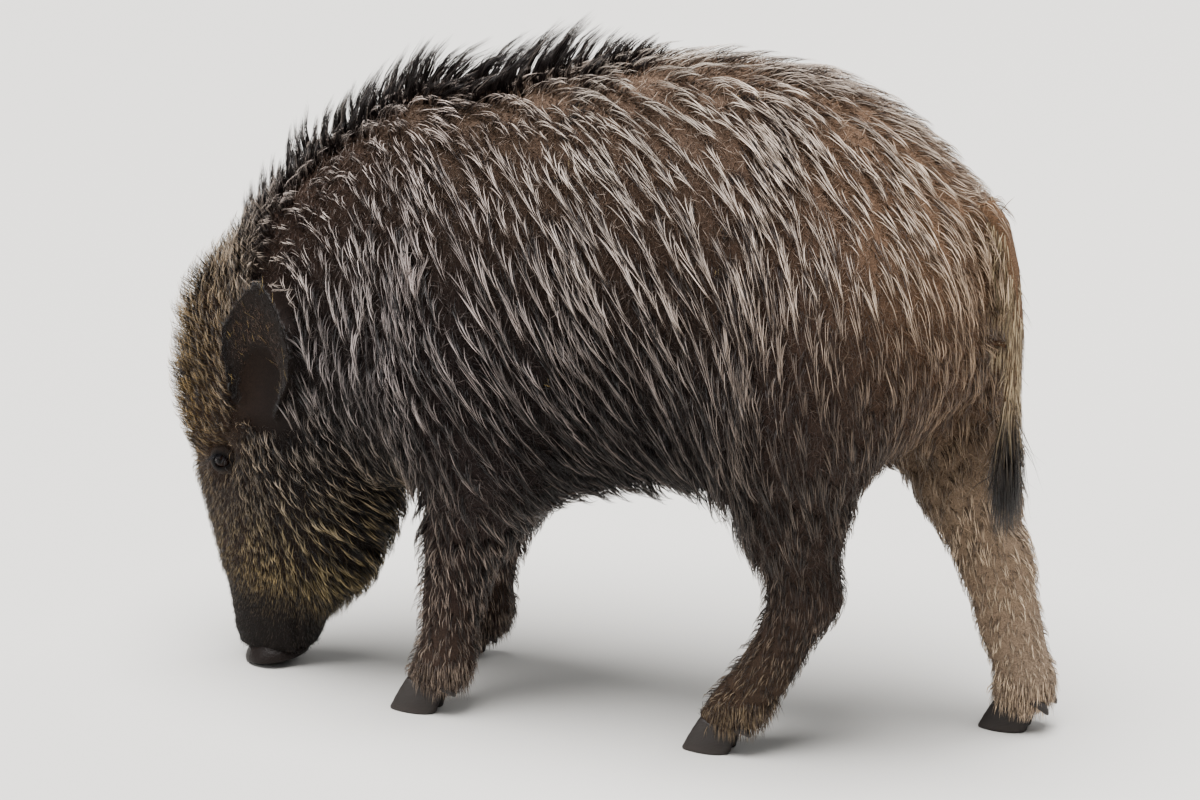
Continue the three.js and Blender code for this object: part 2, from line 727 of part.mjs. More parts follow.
const boar = new THREE.Group();
boar.name = "wild_boar";
for (const [name, solid] of Object.entries(pieces)) {
  const [, color, roughness] = SURFACES.find(([pattern]) => pattern.test(name));
  const material = new THREE.MeshStandardMaterial({ color, roughness, metalness: 0 });
  const mesh = new THREE.Mesh(geometryOf(solid), material);
  mesh.name = name;
  boar.add(mesh);
}

// The origin is the middle of the animal's outline on the floor.
const outline = new THREE.Box3().setFromObject(boar);
const middle = outline.getCenter(new THREE.Vector3());
for (const mesh of boar.children) mesh.geometry.translate(-middle.x, -middle.y, -outline.min.z);
export default boar;
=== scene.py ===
"""A life-size wild boar in a wet winter coat, standing with its snout on the ground.

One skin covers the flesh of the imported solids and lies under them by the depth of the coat.
Eyes, lids, snout disc, hooves and dewclaws are pieces of their own, and the coat is made of
closed, tapering hairs that are gathered into locks and follow the lie of the fur.
Metres, +Z up, the head towards -X and the animal's left side towards -Y.
"""

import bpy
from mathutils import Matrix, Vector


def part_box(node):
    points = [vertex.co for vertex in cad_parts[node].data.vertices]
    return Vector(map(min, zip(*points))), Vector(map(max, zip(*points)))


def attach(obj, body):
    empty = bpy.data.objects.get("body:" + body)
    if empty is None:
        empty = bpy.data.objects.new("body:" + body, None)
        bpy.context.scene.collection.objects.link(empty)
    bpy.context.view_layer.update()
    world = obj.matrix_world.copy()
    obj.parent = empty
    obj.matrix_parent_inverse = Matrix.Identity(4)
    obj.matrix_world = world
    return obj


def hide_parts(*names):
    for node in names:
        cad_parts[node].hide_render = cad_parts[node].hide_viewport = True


bl_info = {
    "name": "Wild Boar",
    "version": (1, 0, 0),
    "blender": (4, 5, 0),
    "location": "3D View > Sidebar > Wild Boar",
    "description": "Builds a life-size wild boar with a coat of solid hairs",
    "category": "Add Mesh",
}

import math
from collections import namedtuple
from functools import cache

import bmesh
import bpy
import numpy as np
from bpy.props import FloatProperty, FloatVectorProperty, IntProperty, PointerProperty
from mathutils import Vector

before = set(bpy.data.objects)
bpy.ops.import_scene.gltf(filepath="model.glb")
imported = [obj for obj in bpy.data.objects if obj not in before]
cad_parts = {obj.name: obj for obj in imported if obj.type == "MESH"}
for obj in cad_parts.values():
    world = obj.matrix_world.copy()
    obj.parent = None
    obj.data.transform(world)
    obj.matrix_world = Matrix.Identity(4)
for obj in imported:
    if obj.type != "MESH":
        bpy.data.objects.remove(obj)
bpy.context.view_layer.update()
MM = 0.001

# ---------- landmarks of the solids ----------
POLL = np.array((-0.435, 0.0, 0.445))  # the head's axis runs from here
NOSE = np.array((-0.418, 0.0, 0.026))  # down to here
AHEAD = (NOSE - POLL) / np.linalg.norm(NOSE - POLL)
DORSAL = np.array((AHEAD[2], 0.0, -AHEAD[0]))
BARE = ("hoof", "dewclaw", "eye", "snout_disc", "mane")  # nodes that aren't flesh under fur
FLESH = [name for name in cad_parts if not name.startswith(BARE)]
TRUNK = ("neck", "forequarters", "barrel", "hindquarters")
HEAD = ("head", "muzzle", "lower_jaw")
SIDES = {"left": -1.0, "right": 1.0}
DOWN = np.array((0.0, 0.0, -1.0))
REACH = 1.2  # every row of the coat's table reaches this many times its own figure

# The coat, place by place, in columns: a name, the place (x y z in mm, for the left side), how far
# that kind of coat reaches, how the hair lies (x y z), its length in mm, how deep the skin lies
# under the solids in mm, how far the tips rise as a share of that depth, the colours of the
# undercoat, of dark hairs and of pale ones, the share of pale ones, and how closely the hairs of
# a lock run to one point. The pale colours and their share are partly the hairs' own pale tips and
# partly a painted highlight of the light from overhead. They are brightest and most common on the
# back, and a grey painted sheen on the neck.
COAT = """
nape          -330  -45 640  70    0.5  -0.4   0.1   64  20  1.2  433228 251b18 dacbc1  0.48  0.5
withers       -150  -85 735  80   0.75  -0.5 -0.45   68  22  1.1  604c3b 261b17 ecd6c7  0.35  0.6
neck_side     -196 -143 626  70   0.45  -0.3 -0.78   90  24    1  241916 140d0b c7b6b3  0.62 0.85
neck_low      -215 -150 520  75   0.45     0  -0.9   92  24    1  1e1513 100a09 aa9d99  0.46  0.9
behind_ear    -317 -133 418  55   0.28     0 -0.95   56  15    1  16100e 0e0a09 afa3a1   0.5 0.85
shoulder_top   -65 -151 640  70   0.45  -0.3  -0.8   98  24    1  302318 1a1210 ccb9af  0.52  0.9
shoulder       -40 -168 550  75   0.45     0 -0.88  104  25    1  1c1311 110c0a aa9c97  0.54 0.92
shoulder_low   -60 -180 470  60    0.6     0 -0.75   92  22    1  1b1210 0e0a09 877975   0.3  0.9
back            40  -95 765  85   0.85 -0.35  -0.3   76  19  1.1  876e5c 32231a fff2e0  0.62 0.75
back_side       60 -150 680  75   0.75  -0.3 -0.55   92  22 1.05  544032 231813 fbe4d4  0.62 0.92
loin           190 -120 730  85    0.8  -0.3  -0.5   88  19 1.05  675241 2a1d18 fee6d4   0.6 0.85
ribs            70 -178 560  75   0.58     0 -0.78  106  25    1  1d1410 110b09 90837e  0.46 0.94
flank_top      160 -168 625  65   0.42 -0.25 -0.87   98  21    1  2c201a 1a1210 af9c91   0.5  0.9
ribs_low        80 -180 440  75   0.62     0 -0.74  104  25    1  160f0e 0d0908 776b64  0.32 0.92
flank          160 -185 480  60   0.65     0 -0.75  100  24    1  1a1210 100a09 6e635c  0.32  0.9
fold           225 -170 400  55    0.7     0 -0.65   84  20    1  1b1312 0e0a09 81746a   0.3 0.85
elbow           20 -160 390  60    0.8     0  -0.6   52  14    1  1d1412 120c0b 6d5f59  0.22  0.8
arm           -130 -185 440  60    0.8     0 -0.58   70  17    1  211716 140e0d 857870   0.3  0.8
upper_arm     -120 -180 350  60    0.4     0  -0.9   46   9    1  261b19 140e0d 70625b   0.3  0.8
hip_top        270 -140 700  70    0.5  -0.3 -0.78   84  18    1  4e3b2e 2b1f19 dcc5b3  0.55  0.7
hip            240 -170 600  65   0.18     0 -0.97   72  16    1  3f2f27 281c18 b5a08c   0.5 0.65
rump_top       365  -90 720  75    0.6 -0.35  -0.7   76  16    1  876a54 3c2c21 ffead3  0.62  0.6
rump           430  -70 640  70   0.35  -0.2  -0.9   64  15    1  87684f 5f4732 e4c4a4   0.6  0.5
buttock        475  -50 520  70    0.1     0    -1   58  12    1  644a36 4a3629 ad9071   0.5 0.45
thigh          370 -180 500  80   0.08     0    -1   42   9    1  362821 291e18 615146   0.4  0.5
thigh_front    290 -190 450  60    0.0     0    -1   44  10    1  392b24 281d19 655649  0.36 0.55
thigh_low      330 -170 360  70   0.05     0    -1   38   7    1  31241d 241a15 594b3d   0.4  0.5
belly           60  -60 285  90   0.75   0.1  -0.5   44  26  1.5  1e1615 130e0d 5f534b   0.2  0.6
chest         -190  -40 300  80    0.5   0.2  -0.7   46  20  1.3  1e1615 130e0d 5f534b   0.2  0.6
crown         -490  -40 470  55    0.1   0.1  0.95   44  12  3.4  2c1f18 160f0d b09b81  0.45 0.75
forehead      -505  -50 390  50   -0.3   0.2   0.9   34  11  2.9  4a331c 20150d b5914e   0.5  0.6
temple        -455  -85 380  40   -0.2     0     1   26   8  1.3  2c1f18 17100e 8a734e  0.35  0.6
brow          -480  -62 315  32   -0.5     0  0.85   20   5  1.6  3d2b1b 211711 917238   0.4  0.3
below_eye     -440  -88 245  34   0.35     0  -0.9   14   4  0.9  382f2a 28201c 70655d   0.4  0.2
cheek_top     -365 -117 335  45   0.45     0 -0.88   42  13    1  18100e 0f0a09 a8998d  0.36 0.85
cheek         -340 -107 265  45   0.86     0  -0.5   46  14    1  160f0c 0d0908 b5a58d  0.42 0.85
cheek_rear    -270 -100 310  50    0.9   0.1 -0.35   46  15    1  16100d 0e0908 a09081  0.36 0.85
ruff          -345  -90 185  42    0.4   0.1  -0.9   44  11  1.5  1d140f 120c09 cfb67b  0.45 0.75
jowl          -275  -62 230  50   0.75   0.5  -0.2   46  12  1.6  1c140f 120c09 aa945c  0.33  0.7
muzzle_side   -425  -60 185  36    0.1     0    -1   14   4  1.2  312319 19110d 948160  0.45  0.2
muzzle_top    -475  -20 170  40  -0.05  -0.2    -1   12 3.5  1.3  38271c 1e1511 8e7b5b  0.45 0.15
fringe        -420  -50 128  24   0.05     0    -1   20   5  1.6  3f2f1f 201610 caac6d   0.6  0.5
snout         -425  -35  70  34    0.1     0    -1    6 2.5  0.9  0c0707 070504 53463c  0.35  0.1
foreleg       -140 -130 200  60      0     0    -1   32   7  0.9  3f302b 231815 ceb7a7  0.42  0.6
forefoot      -160 -120  90  45   -0.1     0    -1   19   5  0.9  46372e 2e231d 8b7967  0.45  0.5
gaskin         290 -140 260  60    0.1     0    -1   34   6  0.9  31241d 231a15 605146   0.4  0.6
hock           290 -120 180  45   -0.3     0 -0.95   28   5  0.9  372a22 281d18 705e4e  0.45  0.5
hindfoot       220 -120  80  50   -0.4     0  -0.9   18   5  0.9  48382c 32261d 8b775c  0.45  0.5
""".strip().splitlines()

# Rows for one place only: the tail, and the right hind leg, which doesn't mirror the left one.
SINGLE_COAT = """
tail_root      490    0 560  30   0.05     0    -1   44   5  1.0  80644b 4b3627 dcc29d   0.5  0.6
tail_end       502    0 400  26      0     0    -1   60   5  1.3  130d0b 0d0908 3c312b   0.2  0.8
tail_tip       497    0 340  26      0     0    -1   60   5  1.3  0f0a09 0b0706 2d2521  0.15  0.8
gaskin_back    430  100 270  60   0.25     0 -0.97   32   6  0.9  968069 6c5a4b f9dbb9   0.6  0.6
cannon_back    478   96 150  55   0.15     0    -1   24   5  0.9  a38a71 7b6859 ffe7c4   0.6  0.5
hindfoot_back  500   92  70  45    0.1     0    -1   17   5  0.9  907d6c 625444 e6c7a6  0.55  0.5
""".strip().splitlines()

# The crest of the mane seen from the side, from brow to back: x and z in mm.
CREST = ((-543, 372), (-536, 432), (-490, 540), (-414, 640), (-328, 728), (-239, 785), (-132, 822))
CREST += ((-65, 838), (-3, 834), (57, 823), (110, 818))

# ---------- small maths ----------


def smooth(x, low, high):
    """0 below low and 1 above high, with a smooth S between them."""
    t = np.clip((np.asarray(x, float) - low) / (high - low), 0.0, 1.0)
    return t * t * (3.0 - 2.0 * t)


def unit(v):
    """Vectors along the last axis, each divided by its own length."""
    return v / np.maximum(np.linalg.norm(v, axis=-1, keepdims=True), 1e-12)


def dot(a, b):
    """The dot product along the last axis, kept as a column."""
    return (a * b).sum(-1, keepdims=True)


def mix(first, second, share):
    """The first value where the share is 0 and the second where it is 1."""
    return first * (1 - share) + second * share


def circle(count):
    """Angles round a circle, with the first not repeated."""
    return np.linspace(0, 2 * math.pi, count, endpoint=False)


def some(rng, count, share, low, high):
    """A column that is 0 for most and between two levels for a share of the rows at random."""
    return (rng.random((count, 1)) < share) * rng.uniform(low, high, (count, 1))


def linear(code):
    """An sRGB hex colour as three linear values."""
    c = np.array([int(code[i : i + 2], 16) for i in (0, 2, 4)]) / 255.0
    return np.where(c <= 0.04045, c / 12.92, ((c + 0.055) / 1.055) ** 2.4)


def middle(node):
    """The centre of a node's box."""
    low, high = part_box(node)
    return (np.array(low) + np.array(high)) / 2


def on_head(points):
    """Places as (along, up, aside) from the head's axis."""
    rel = points - POLL
    return rel @ AHEAD, rel @ DORSAL, rel[..., 1]


def gaze(side):
    """The way an eye looks: ahead of the animal, and mostly out to its side."""
    return unit(np.array((-0.18, side * 0.98, 0.06)))


# ---------- meshes from arrays ----------


def mesh_of(name, points, faces):
    """A mesh of points and of faces that all have the same number of corners."""
    mesh = bpy.data.meshes.new(name)
    faces = np.asarray(faces, np.int32)
    mesh.vertices.add(len(points))
    mesh.vertices.foreach_set("co", np.asarray(points, np.float32).ravel())
    mesh.loops.add(faces.size)
    mesh.loops.foreach_set("vertex_index", faces.ravel())
    mesh.polygons.add(len(faces))
    mesh.polygons.foreach_set("loop_start", np.arange(0, faces.size, faces.shape[1], dtype=np.int32))
    mesh.update(calc_edges=True)
    mesh.polygons.foreach_set("use_smooth", np.ones(len(faces), bool))
    return mesh


def new_object(name, points, faces, material, slot, replaced=(), colours=None, uv=None):
    """A mesh object at the origin, with its material, colours and bake map."""
    mesh = mesh_of(name, points, faces)
    if colours is not None:
        paint(mesh, "tone", colours)
    if uv is not None:
        layer = mesh.uv_layers.new(name="OFBake")
        layer.uv.foreach_set("vector", np.asarray(uv, np.float32)[faces.ravel()].ravel())
    piece = bpy.data.objects.new(name, mesh)
    bpy.context.scene.collection.objects.link(piece)
    mesh.materials.append(material)
    own(piece, replaced)


def own(piece, replaced=()):
    """Ties a finished piece to the body and hides the nodes it stands for."""
    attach(piece, "root")
    if replaced:
        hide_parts(*replaced)


def paint(mesh, name, colours):
    """A colour for each point of a mesh, in linear values."""
    rgba = np.ones((len(colours), 4), np.float32)
    rgba[:, :3] = colours
    layer = mesh.color_attributes.new(name, "FLOAT_COLOR", "POINT")
    layer.data.foreach_set("color", rgba.ravel())


def grid_faces(rows, columns):
    """Quads between the neighbours of a grid of points that closes on itself along each row."""
    r, c = np.meshgrid(np.arange(rows - 1), np.arange(columns), indexing="ij")
    nxt = (c + 1) % columns
    corners = (r * columns + c, r * columns + nxt, (r + 1) * columns + nxt, (r + 1) * columns + c)
    return np.stack(corners, -1).reshape(-1, 4)


def halves(quads):
    """Two triangles for each quad."""
    return np.concatenate((quads[:, (0, 1, 2)], quads[:, (0, 2, 3)]))


def capped(grid):
    """Points and triangles of a closed tube of rings, with a middle point on each end."""
    rows, columns, _ = grid.shape
    tris = halves(grid_faces(rows, columns))
    ring = np.arange(columns)
    after = (ring + 1) % columns
    first, last = rows * columns, rows * columns + 1
    end = (rows - 1) * columns
    caps = [np.stack((after, ring, np.full(columns, first)), -1)]
    caps.append(np.stack((end + ring, end + after, np.full(columns, last)), -1))
    points = np.concatenate((grid.reshape(-1, 3), grid[:1].mean(1), grid[-1:].mean(1)))
    return points, facing_out(points, np.concatenate((tris, *caps)))


def sealed_band(grid):
    """A band of rings closed into a thin ring-shaped solid by a second wall 1.5 mm behind it."""
    inner = grid - unit(np.cross(np.gradient(grid, axis=1), np.gradient(grid, axis=0))) * 1.5 * MM
    whole = np.concatenate((grid, inner[::-1]))
    rows, columns, _ = whole.shape
    points = whole.reshape(-1, 3)
    return points, facing_out(points, halves(grid_faces(rows + 1, columns) % (rows * columns)))


def facing_out(points, tris):
    """The triangles of a closed surface, turned round if they enclose a negative volume."""
    a, b, c = (points[tris[:, i]] for i in range(3))
    volume = (a * np.cross(b, c)).sum()
    return tris if volume > 0 else tris[:, ::-1]


def joined(parts):
    """Several (points, faces) pairs as one."""
    offsets = np.cumsum([0] + [len(points) for points, _ in parts[:-1]])
    points = np.concatenate([points for points, _ in parts])
    return points, np.concatenate([faces + k for (_, faces), k in zip(parts, offsets)])


# ---------- materials ----------


def add_node(material, kind, settings=None, links=None):
    """Adds a node, sets its values or inputs by name, and links its inputs from other sockets."""
    tree = material.node_tree
    node = tree.nodes.new(kind)
    for key, value in (settings or {}).items():
        if key in node.inputs:
            node.inputs[key].default_value = value
        else:
            setattr(node, key, value)
    for key, source in (links or {}).items():
        tree.links.new(source, node.inputs[key])
    return node


def new_material(name, roughness, ior=1.5, specular=0.5):
    """A material with one Principled surface, and that surface."""
    material = bpy.data.materials.new(name)
    material.use_nodes = True
    shader = material.node_tree.nodes["Principled BSDF"]
    for key, value in (("Roughness", roughness), ("IOR", ior), ("Specular IOR Level", specular)):
        shader.inputs[key].default_value = value
    return material, shader


def toned(material, shader):
    """Takes a surface's colour from the points of the mesh."""
    tone = add_node(material, "ShaderNodeAttribute", {"attribute_name": "tone"})
    material.node_tree.links.new(tone.outputs["Color"], shader.inputs["Base Color"])
    return tone


def roughened(material, shader, kind, size_mm, height_mm, settings):
    """Gives a surface a bump of cells or noise of a real size, from object coordinates."""
    place = add_node(material, "ShaderNodeTexCoord")
    texture = {"Scale": 1.0 / (size_mm * MM), **settings}
    pattern = add_node(material, kind, texture, {"Vector": place.outputs["Object"]})
    out = "Distance" if kind == "ShaderNodeTexVoronoi" else "Fac"
    height = {"Strength": 1.0, "Distance": height_mm * MM}
    bump = add_node(material, "ShaderNodeBump", height, {"Height": pattern.outputs[out]})
    material.node_tree.links.new(bump.outputs["Normal"], shader.inputs["Normal"])
    return pattern


@cache
def hair_material():
    """Wet hair: keratin with a film of water, so each strand has a soft bright edge."""
    material, shader = new_material("wet_boar_hair", 0.34, 1.55, 0.3)
    toned(material, shader)
    return material


@cache
def hide_material():
    """Haired hide: dull skin under fine wool, mottled light and dark by the fibres, a few to each
    millimetre, which also roughen it. They are drawn 1.6 mm wide, as coarse as they need to show."""
    material, shader = new_material("haired_hide", 0.7, 1.4, 0.15)
    tone = toned(material, shader)
    wool = {"Detail": 7.0, "Roughness": 0.7}
    pattern = roughened(material, shader, "ShaderNodeTexNoise", 1.6, 1.2, wool)
    span = {"From Min": 0.35, "From Max": 0.65, "To Min": 0.35, "To Max": 1.7}
    level = add_node(material, "ShaderNodeMapRange", span, {"Value": pattern.outputs["Fac"]})
    links = {"Vector": tone.outputs["Color"], "Scale": level.outputs["Result"]}
    mottled = add_node(material, "ShaderNodeVectorMath", {"operation": "SCALE"}, links)
    material.node_tree.links.new(mottled.outputs["Vector"], shader.inputs["Base Color"])
    return material


@cache
def snout_material():
    """Bare snout skin: moist and leathery, with close pores that catch small lights."""
    material, shader = new_material("moist_snout_skin", 0.45, 1.4, 0.2)
    toned(material, shader)
    roughened(material, shader, "ShaderNodeTexVoronoi", 2.4, 0.5, {"feature": "F1"})
    return material


@cache
def horn_material():
    """Hoof horn: dull dark keratin, scuffed, with fine growth lines round it."""
    material, shader = new_material("hoof_horn", 0.5, 1.55, 0.3)
    toned(material, shader)
    bands = {"bands_direction": "Z", "Distortion": 2.5, "Detail": 3.0}
    roughened(material, shader, "ShaderNodeTexWave", 6.0, 0.2, bands)
    return material


@cache
def eye_material():
    """Wet eye: a dark iris under a clear, smooth cornea with one sharp highlight."""
    material, shader = new_material("wet_eye", 0.05, 1.376, 0.1)
    toned(material, shader)
    return material


@cache
def studio_material():
    """Studio paint: matt, pale and even, so nothing on the floor draws the eye."""
    material, shader = new_material("matt_studio_paint", 0.9)
    shader.inputs["Base Color"].default_value = (*linear("c9c6c1"), 1.0)
    return material


# ---------- the lie of the coat ----------


def fur_rows():
    """The table of the coat as arrays: its rows for the left side and the right one by turns, and
    then the rows for one place. A row for the right side has y turned round."""
    both, single = ([line.split()[1:] for line in table] for table in (COAT, SINGLE_COAT))
    rows = [row for row in both for _ in SIDES] + single
    mirror = np.array([1.0, -1.0] * len(both) + [1.0] * len(single))
    values = np.array([row[:10] + row[13:] for row in rows], float)
    places, reach, lies, numbers = np.split(values, (3, 4, 7), 1)
    places = places * MM
    places[:, 1] *= mirror
    lies[:, 1] *= mirror
    numbers[:, :2] *= MM  # length and depth
    colours = np.array([[linear(code) for code in row[10:13]] for row in rows])
    return places, reach[:, 0] * REACH * MM, unit(lies), numbers, colours


ROWS = fur_rows()
Coat = namedtuple("Coat", "lie long deep rise share gather under dark pale")


def fur_at(points):
    """The coat at any places: each row of the table counts by a bell curve of its distance."""
    places, reach, lies, numbers, colours = ROWS
    gap2 = ((points[:, None, :] - places) ** 2).sum(-1)
    weight = np.exp(-0.5 * gap2 / reach**2) + 1e-6 / (1.0 + gap2 / reach**2) ** 4
    weight /= weight.sum(1, keepdims=True)
    long, deep, rise, share, gather = (weight @ numbers).T
    colour = np.einsum("pr,rkc->pkc", weight, colours)
    return Coat(unit(weight @ lies), long, deep, rise, share, gather, *colour.transpose(1, 0, 2))


class Hide:
    """The skin as arrays, and a lookup of the nearest patch of skin for points round it."""

    CELL = 8 * MM
    MARGIN = 60 * MM

    def __init__(self, piece):
        mesh = piece.data
        mesh.calc_loop_triangles()
        self.points = read(mesh.vertices, "co", 3)
        self.normals = read(mesh.vertex_normals, "vector", 3)
        self.tris = read(mesh.loop_triangles, "vertices", 3, np.int32)
        self.zone = read(mesh.attributes["zone"].data, "value", 1, np.int32).ravel()
        self.centres = self.points[self.tris].mean(1)
        a, b, c = (self.points[self.tris[:, i]] for i in range(3))
        self.area = np.linalg.norm(np.cross(b - a, c - a), axis=1) / 2
        self.low = self.points.min(0) - self.MARGIN
        span = self.points.max(0) + self.MARGIN - self.low
        self.size = np.ceil(span / self.CELL).astype(int) + 1
        total = int(self.size.prod())
        cell = self.cell_of(self.points)
        count = np.bincount(cell, minlength=total).astype(float)
        data = np.concatenate((self.points, self.normals), 1)
        field = np.stack([np.bincount(cell, data[:, i], total) for i in range(6)], -1)
        field = self.spread(field.reshape(*self.size, 6), count.reshape(*self.size, 1))
        self.field = field.reshape(-1, 6)

    def cell_of(self, points):
        """The number of the cell that each point is in."""
        index = np.clip(((points - self.low) / self.CELL).astype(int), 0, self.size - 1)
        return (index[:, 0] * self.size[1] + index[:, 1]) * self.size[2] + index[:, 2]

    def spread(self, field, count):
        """Fills the empty cells from their neighbours, a cell further out each time."""
        field = np.where(count > 0, field / np.maximum(count, 1), 0.0)
        full = (count > 0).astype(float)
        for _ in range(7):
            total = np.zeros_like(field)
            known = np.zeros_like(full)
            for axis in range(3):
                for step in (-1, 1):
                    total += np.roll(field * full, step, axis)
                    known += np.roll(full, step, axis)
            new = (full == 0) & (known > 0)
            field = np.where(new, total / np.maximum(known, 1), field)
            full = np.where(new, 1.0, full)
        return field

    def under(self, points):
        """The height of points over the skin near them, and the skin's normal there."""
        near = self.field[self.cell_of(points)]
        normal = unit(near[:, 3:])
        return dot(points - near[:, :3], normal), normal

    def roots(self, rng, spacing, chosen):
        """Scatters roots evenly over chosen triangles, one to each small cube of that spacing, as
        places and normals."""
        area = np.where(chosen, self.area, 0.0)
        tries = int(area.sum() / spacing**2 * 3.5)
        tri = rng.choice(len(area), tries, p=area / area.sum())
        u, v = rng.random((2, tries, 1))
        fold = u + v > 1
        u, v = np.where(fold, 1 - u, u), np.where(fold, 1 - v, v)
        share = np.concatenate((1 - u - v, u, v), 1)[..., None]
        corners = self.tris[tri]
        points = (self.points[corners] * share).sum(1)
        cube = np.floor(points / (spacing * 1.18) + 1000).astype(np.int64)
        key = (cube[:, 0] * 4096 + cube[:, 1]) * 4096 + cube[:, 2]
        kept = np.sort(np.unique(key, return_index=True)[1])
        return points[kept], unit((self.normals[corners[kept]] * share[kept]).sum(1))


def read(data, name, width, kind=np.float32):
    """One property of all of a mesh's elements as an array."""
    values = np.empty(len(data) * width, kind)
    data.foreach_get(name, values)
    values = values.reshape(-1, width)
    return values.astype(float) if kind == np.float32 else values


@cache
def the_hide():
    """The skin's arrays. The skin has to be there first."""
    piece = bpy.data.objects.get("skin")
    if piece is None:
        raise RuntimeError("make the skin before its coat")
    return Hide(piece)


# ---------- hairs ----------


def lay_hair(hide, roots, normals, lies, long, tall, rings):
    """Middle lines of hairs that run over the skin: each step goes on along the lie of the coat,
    and the height over the skin rises fast at first and then levels off at tall."""
    path = [roots - normals * 1.5 * MM]
    here, normal = roots.copy(), normals
    way = lies
    before = 0.0
    for t in rings[1:]:
        way = unit(way - normal * dot(way, normal))
        here = here + way * (long * (t - before))[:, None]
        height, normal = hide.under(here)
        rise = (tall * (1.0 - (1.0 - t) ** 1.8))[:, None]
        here = here + normal * (rise - height)
        path.append(here)
        way = unit(way + 0.5 * (fur_at(here).lie - way))
        before = t
    return np.stack(path, 1)


def stiff_hair(roots, ways, bends, long, rings):
    """Middle lines of hairs that stand: each leaves along its way and bends over steadily."""
    t = np.asarray(rings)[None, :, None]
    return roots[:, None] + long[:, None, None] * (ways[:, None] * t + bends[:, None] * t * t)


def hair_solids(path, ups, width, rings):
    """Closed tapering hairs of three-sided section round middle lines, as points and triangles.
    The section is flat, with a ridge, and keeps its width to half way and then runs to a point."""
    count, steps, _ = path.shape
    run = unit(np.gradient(path, axis=1))
    side = unit(np.cross(run, ups[:, None]))
    ridge = np.cross(side, run)
    t = np.asarray(rings)[None, :, None]
    half = width[:, None, None] * 0.5 * (1.0 - 0.25 * t - 0.75 * smooth(t, 0.35, 1.0))
    ring = np.stack((path - side * half, path + ridge * half * 0.7, path + side * half), 2)
    points = np.concatenate((ring[:, :-1].reshape(count, -1, 3), path[:, -1:]), 1)
    tris = [(0, 2, 1)]
    for k in range(steps - 2):
        for a, b in ((0, 1), (1, 2), (2, 0)):
            a, b = a + 3 * k, b + 3 * k
            tris += [(a, b, b + 3), (a, b + 3, a + 3)]
    k = 3 * (steps - 2)
    tris += [(k, k + 1, k + 3), (k + 1, k + 2, k + 3), (k + 2, k, k + 3)]
    per = points.shape[1]
    faces = np.array(tris)[None] + np.arange(count)[:, None, None] * per
    return points.reshape(-1, 3), faces.reshape(-1, 3)


def bake_map(steps, spread):
    """Bake coordinates: a patch 0.003 wide for each hair, at its root's place on the unwrapped
    skin, with the hair's width across the patch and its length up it."""
    low, high = spread.min(0), spread.max(0)
    place = 0.005 + (spread - low) / (high - low) * 0.985
    across = np.array((0.0, 0.5, 1.0))
    up = np.arange(steps - 1) / (steps - 1)
    patch = np.stack(np.broadcast_arrays(across[None], up[:, None] + (across[None] == 0.5) * 0.1), -1)
    patch = np.concatenate((patch.reshape(-1, 2), [(0.5, 1.0)])) * 0.003
    return (place[:, None] + patch[None]).reshape(-1, 2)


def round_body(points):
    """Unwraps the skin by the angle round the body's own long axis and the way along it."""
    centre = np.interp(points[:, 0], (-0.4, -0.1, 0.2, 0.5), (0.42, 0.53, 0.56, 0.56))
    angle = np.arctan2(points[:, 1], points[:, 2] - centre)
    return np.stack((points[:, 0], angle), -1)


def round_head(points):
    """Unwraps the skin by the angle round the head's axis and the way along it."""
    along, up, aside = on_head(points)
    return np.stack((along, np.arctan2(aside, up + 0.03)), -1)


def round_legs(points):
    """Unwraps each leg by the angle round it and the height, the four of them side by side."""
    fore, left = points[:, 0] < 0.05, points[:, 1] < 0
    leg = fore * 2 + left
    out = np.zeros((len(points), 2))
    for i in range(4):
        mine = points[leg == i]
        if len(mine):
            level = np.round(mine[:, 2] / 0.02).astype(int)
            total = np.bincount(level)
            x = np.bincount(level, mine[:, 0]) / np.maximum(total, 1)
            angle = np.arctan2(mine[:, 1] - np.sign(mine[:, 1]) * 0.095, mine[:, 0] - x[level])
            out[leg == i] = np.stack((i + 0.45 + angle / 7.0, mine[:, 2]), -1)
    return out


def shade(steps, root, body, tip, blend):
    """Colours from root to tip for every point of hairs of a given number of rings."""
    t = np.arange(steps) / (steps - 1)
    low = smooth(t, 0.0, blend)[None, :, None]
    high = smooth(t, 0.6, 1.0)[None, :, None]
    tone = mix(mix(root[:, None], body[:, None], low), tip[:, None], high)
    return np.concatenate((np.repeat(tone[:, :-1], 3, axis=1), tone[:, -1:]), 1).reshape(-1, 3)


def hairs(name, slot, path, ups, thick, rings, tones, wrap, replaced=(), blend=0.35):
    """A piece of hairs round their middle lines, with their colours at root, body and tip, and a
    bake map from the places of their roots on the unwrapped skin."""
    points, faces = hair_solids(path, ups, thick, rings)
    colours = shade(len(rings), *tones, blend)
    uv = bake_map(len(rings), wrap)
    new_object(name, points, faces, hair_material(), slot, replaced, colours, uv)


def zones_of(*names):
    """The numbers of the flesh nodes whose names start with one of these."""
    return [i for i, name in enumerate(FLESH) if name.startswith(names)]


def chosen_tris(names, side=0.0):
    """The triangles of the skin that lie in some nodes and on one side, away from the eyes'
    openings and the ears' cups."""
    hide = the_hide()
    inside = np.isin(hide.zone[hide.tris[:, 0]], zones_of(*names))
    if side:
        inside &= hide.centres[:, 1] * side >= 0
    if "ear" not in names:
        inside &= clear_of_ears(hide.centres)
    return inside & clear_of_eyes(hide.centres)


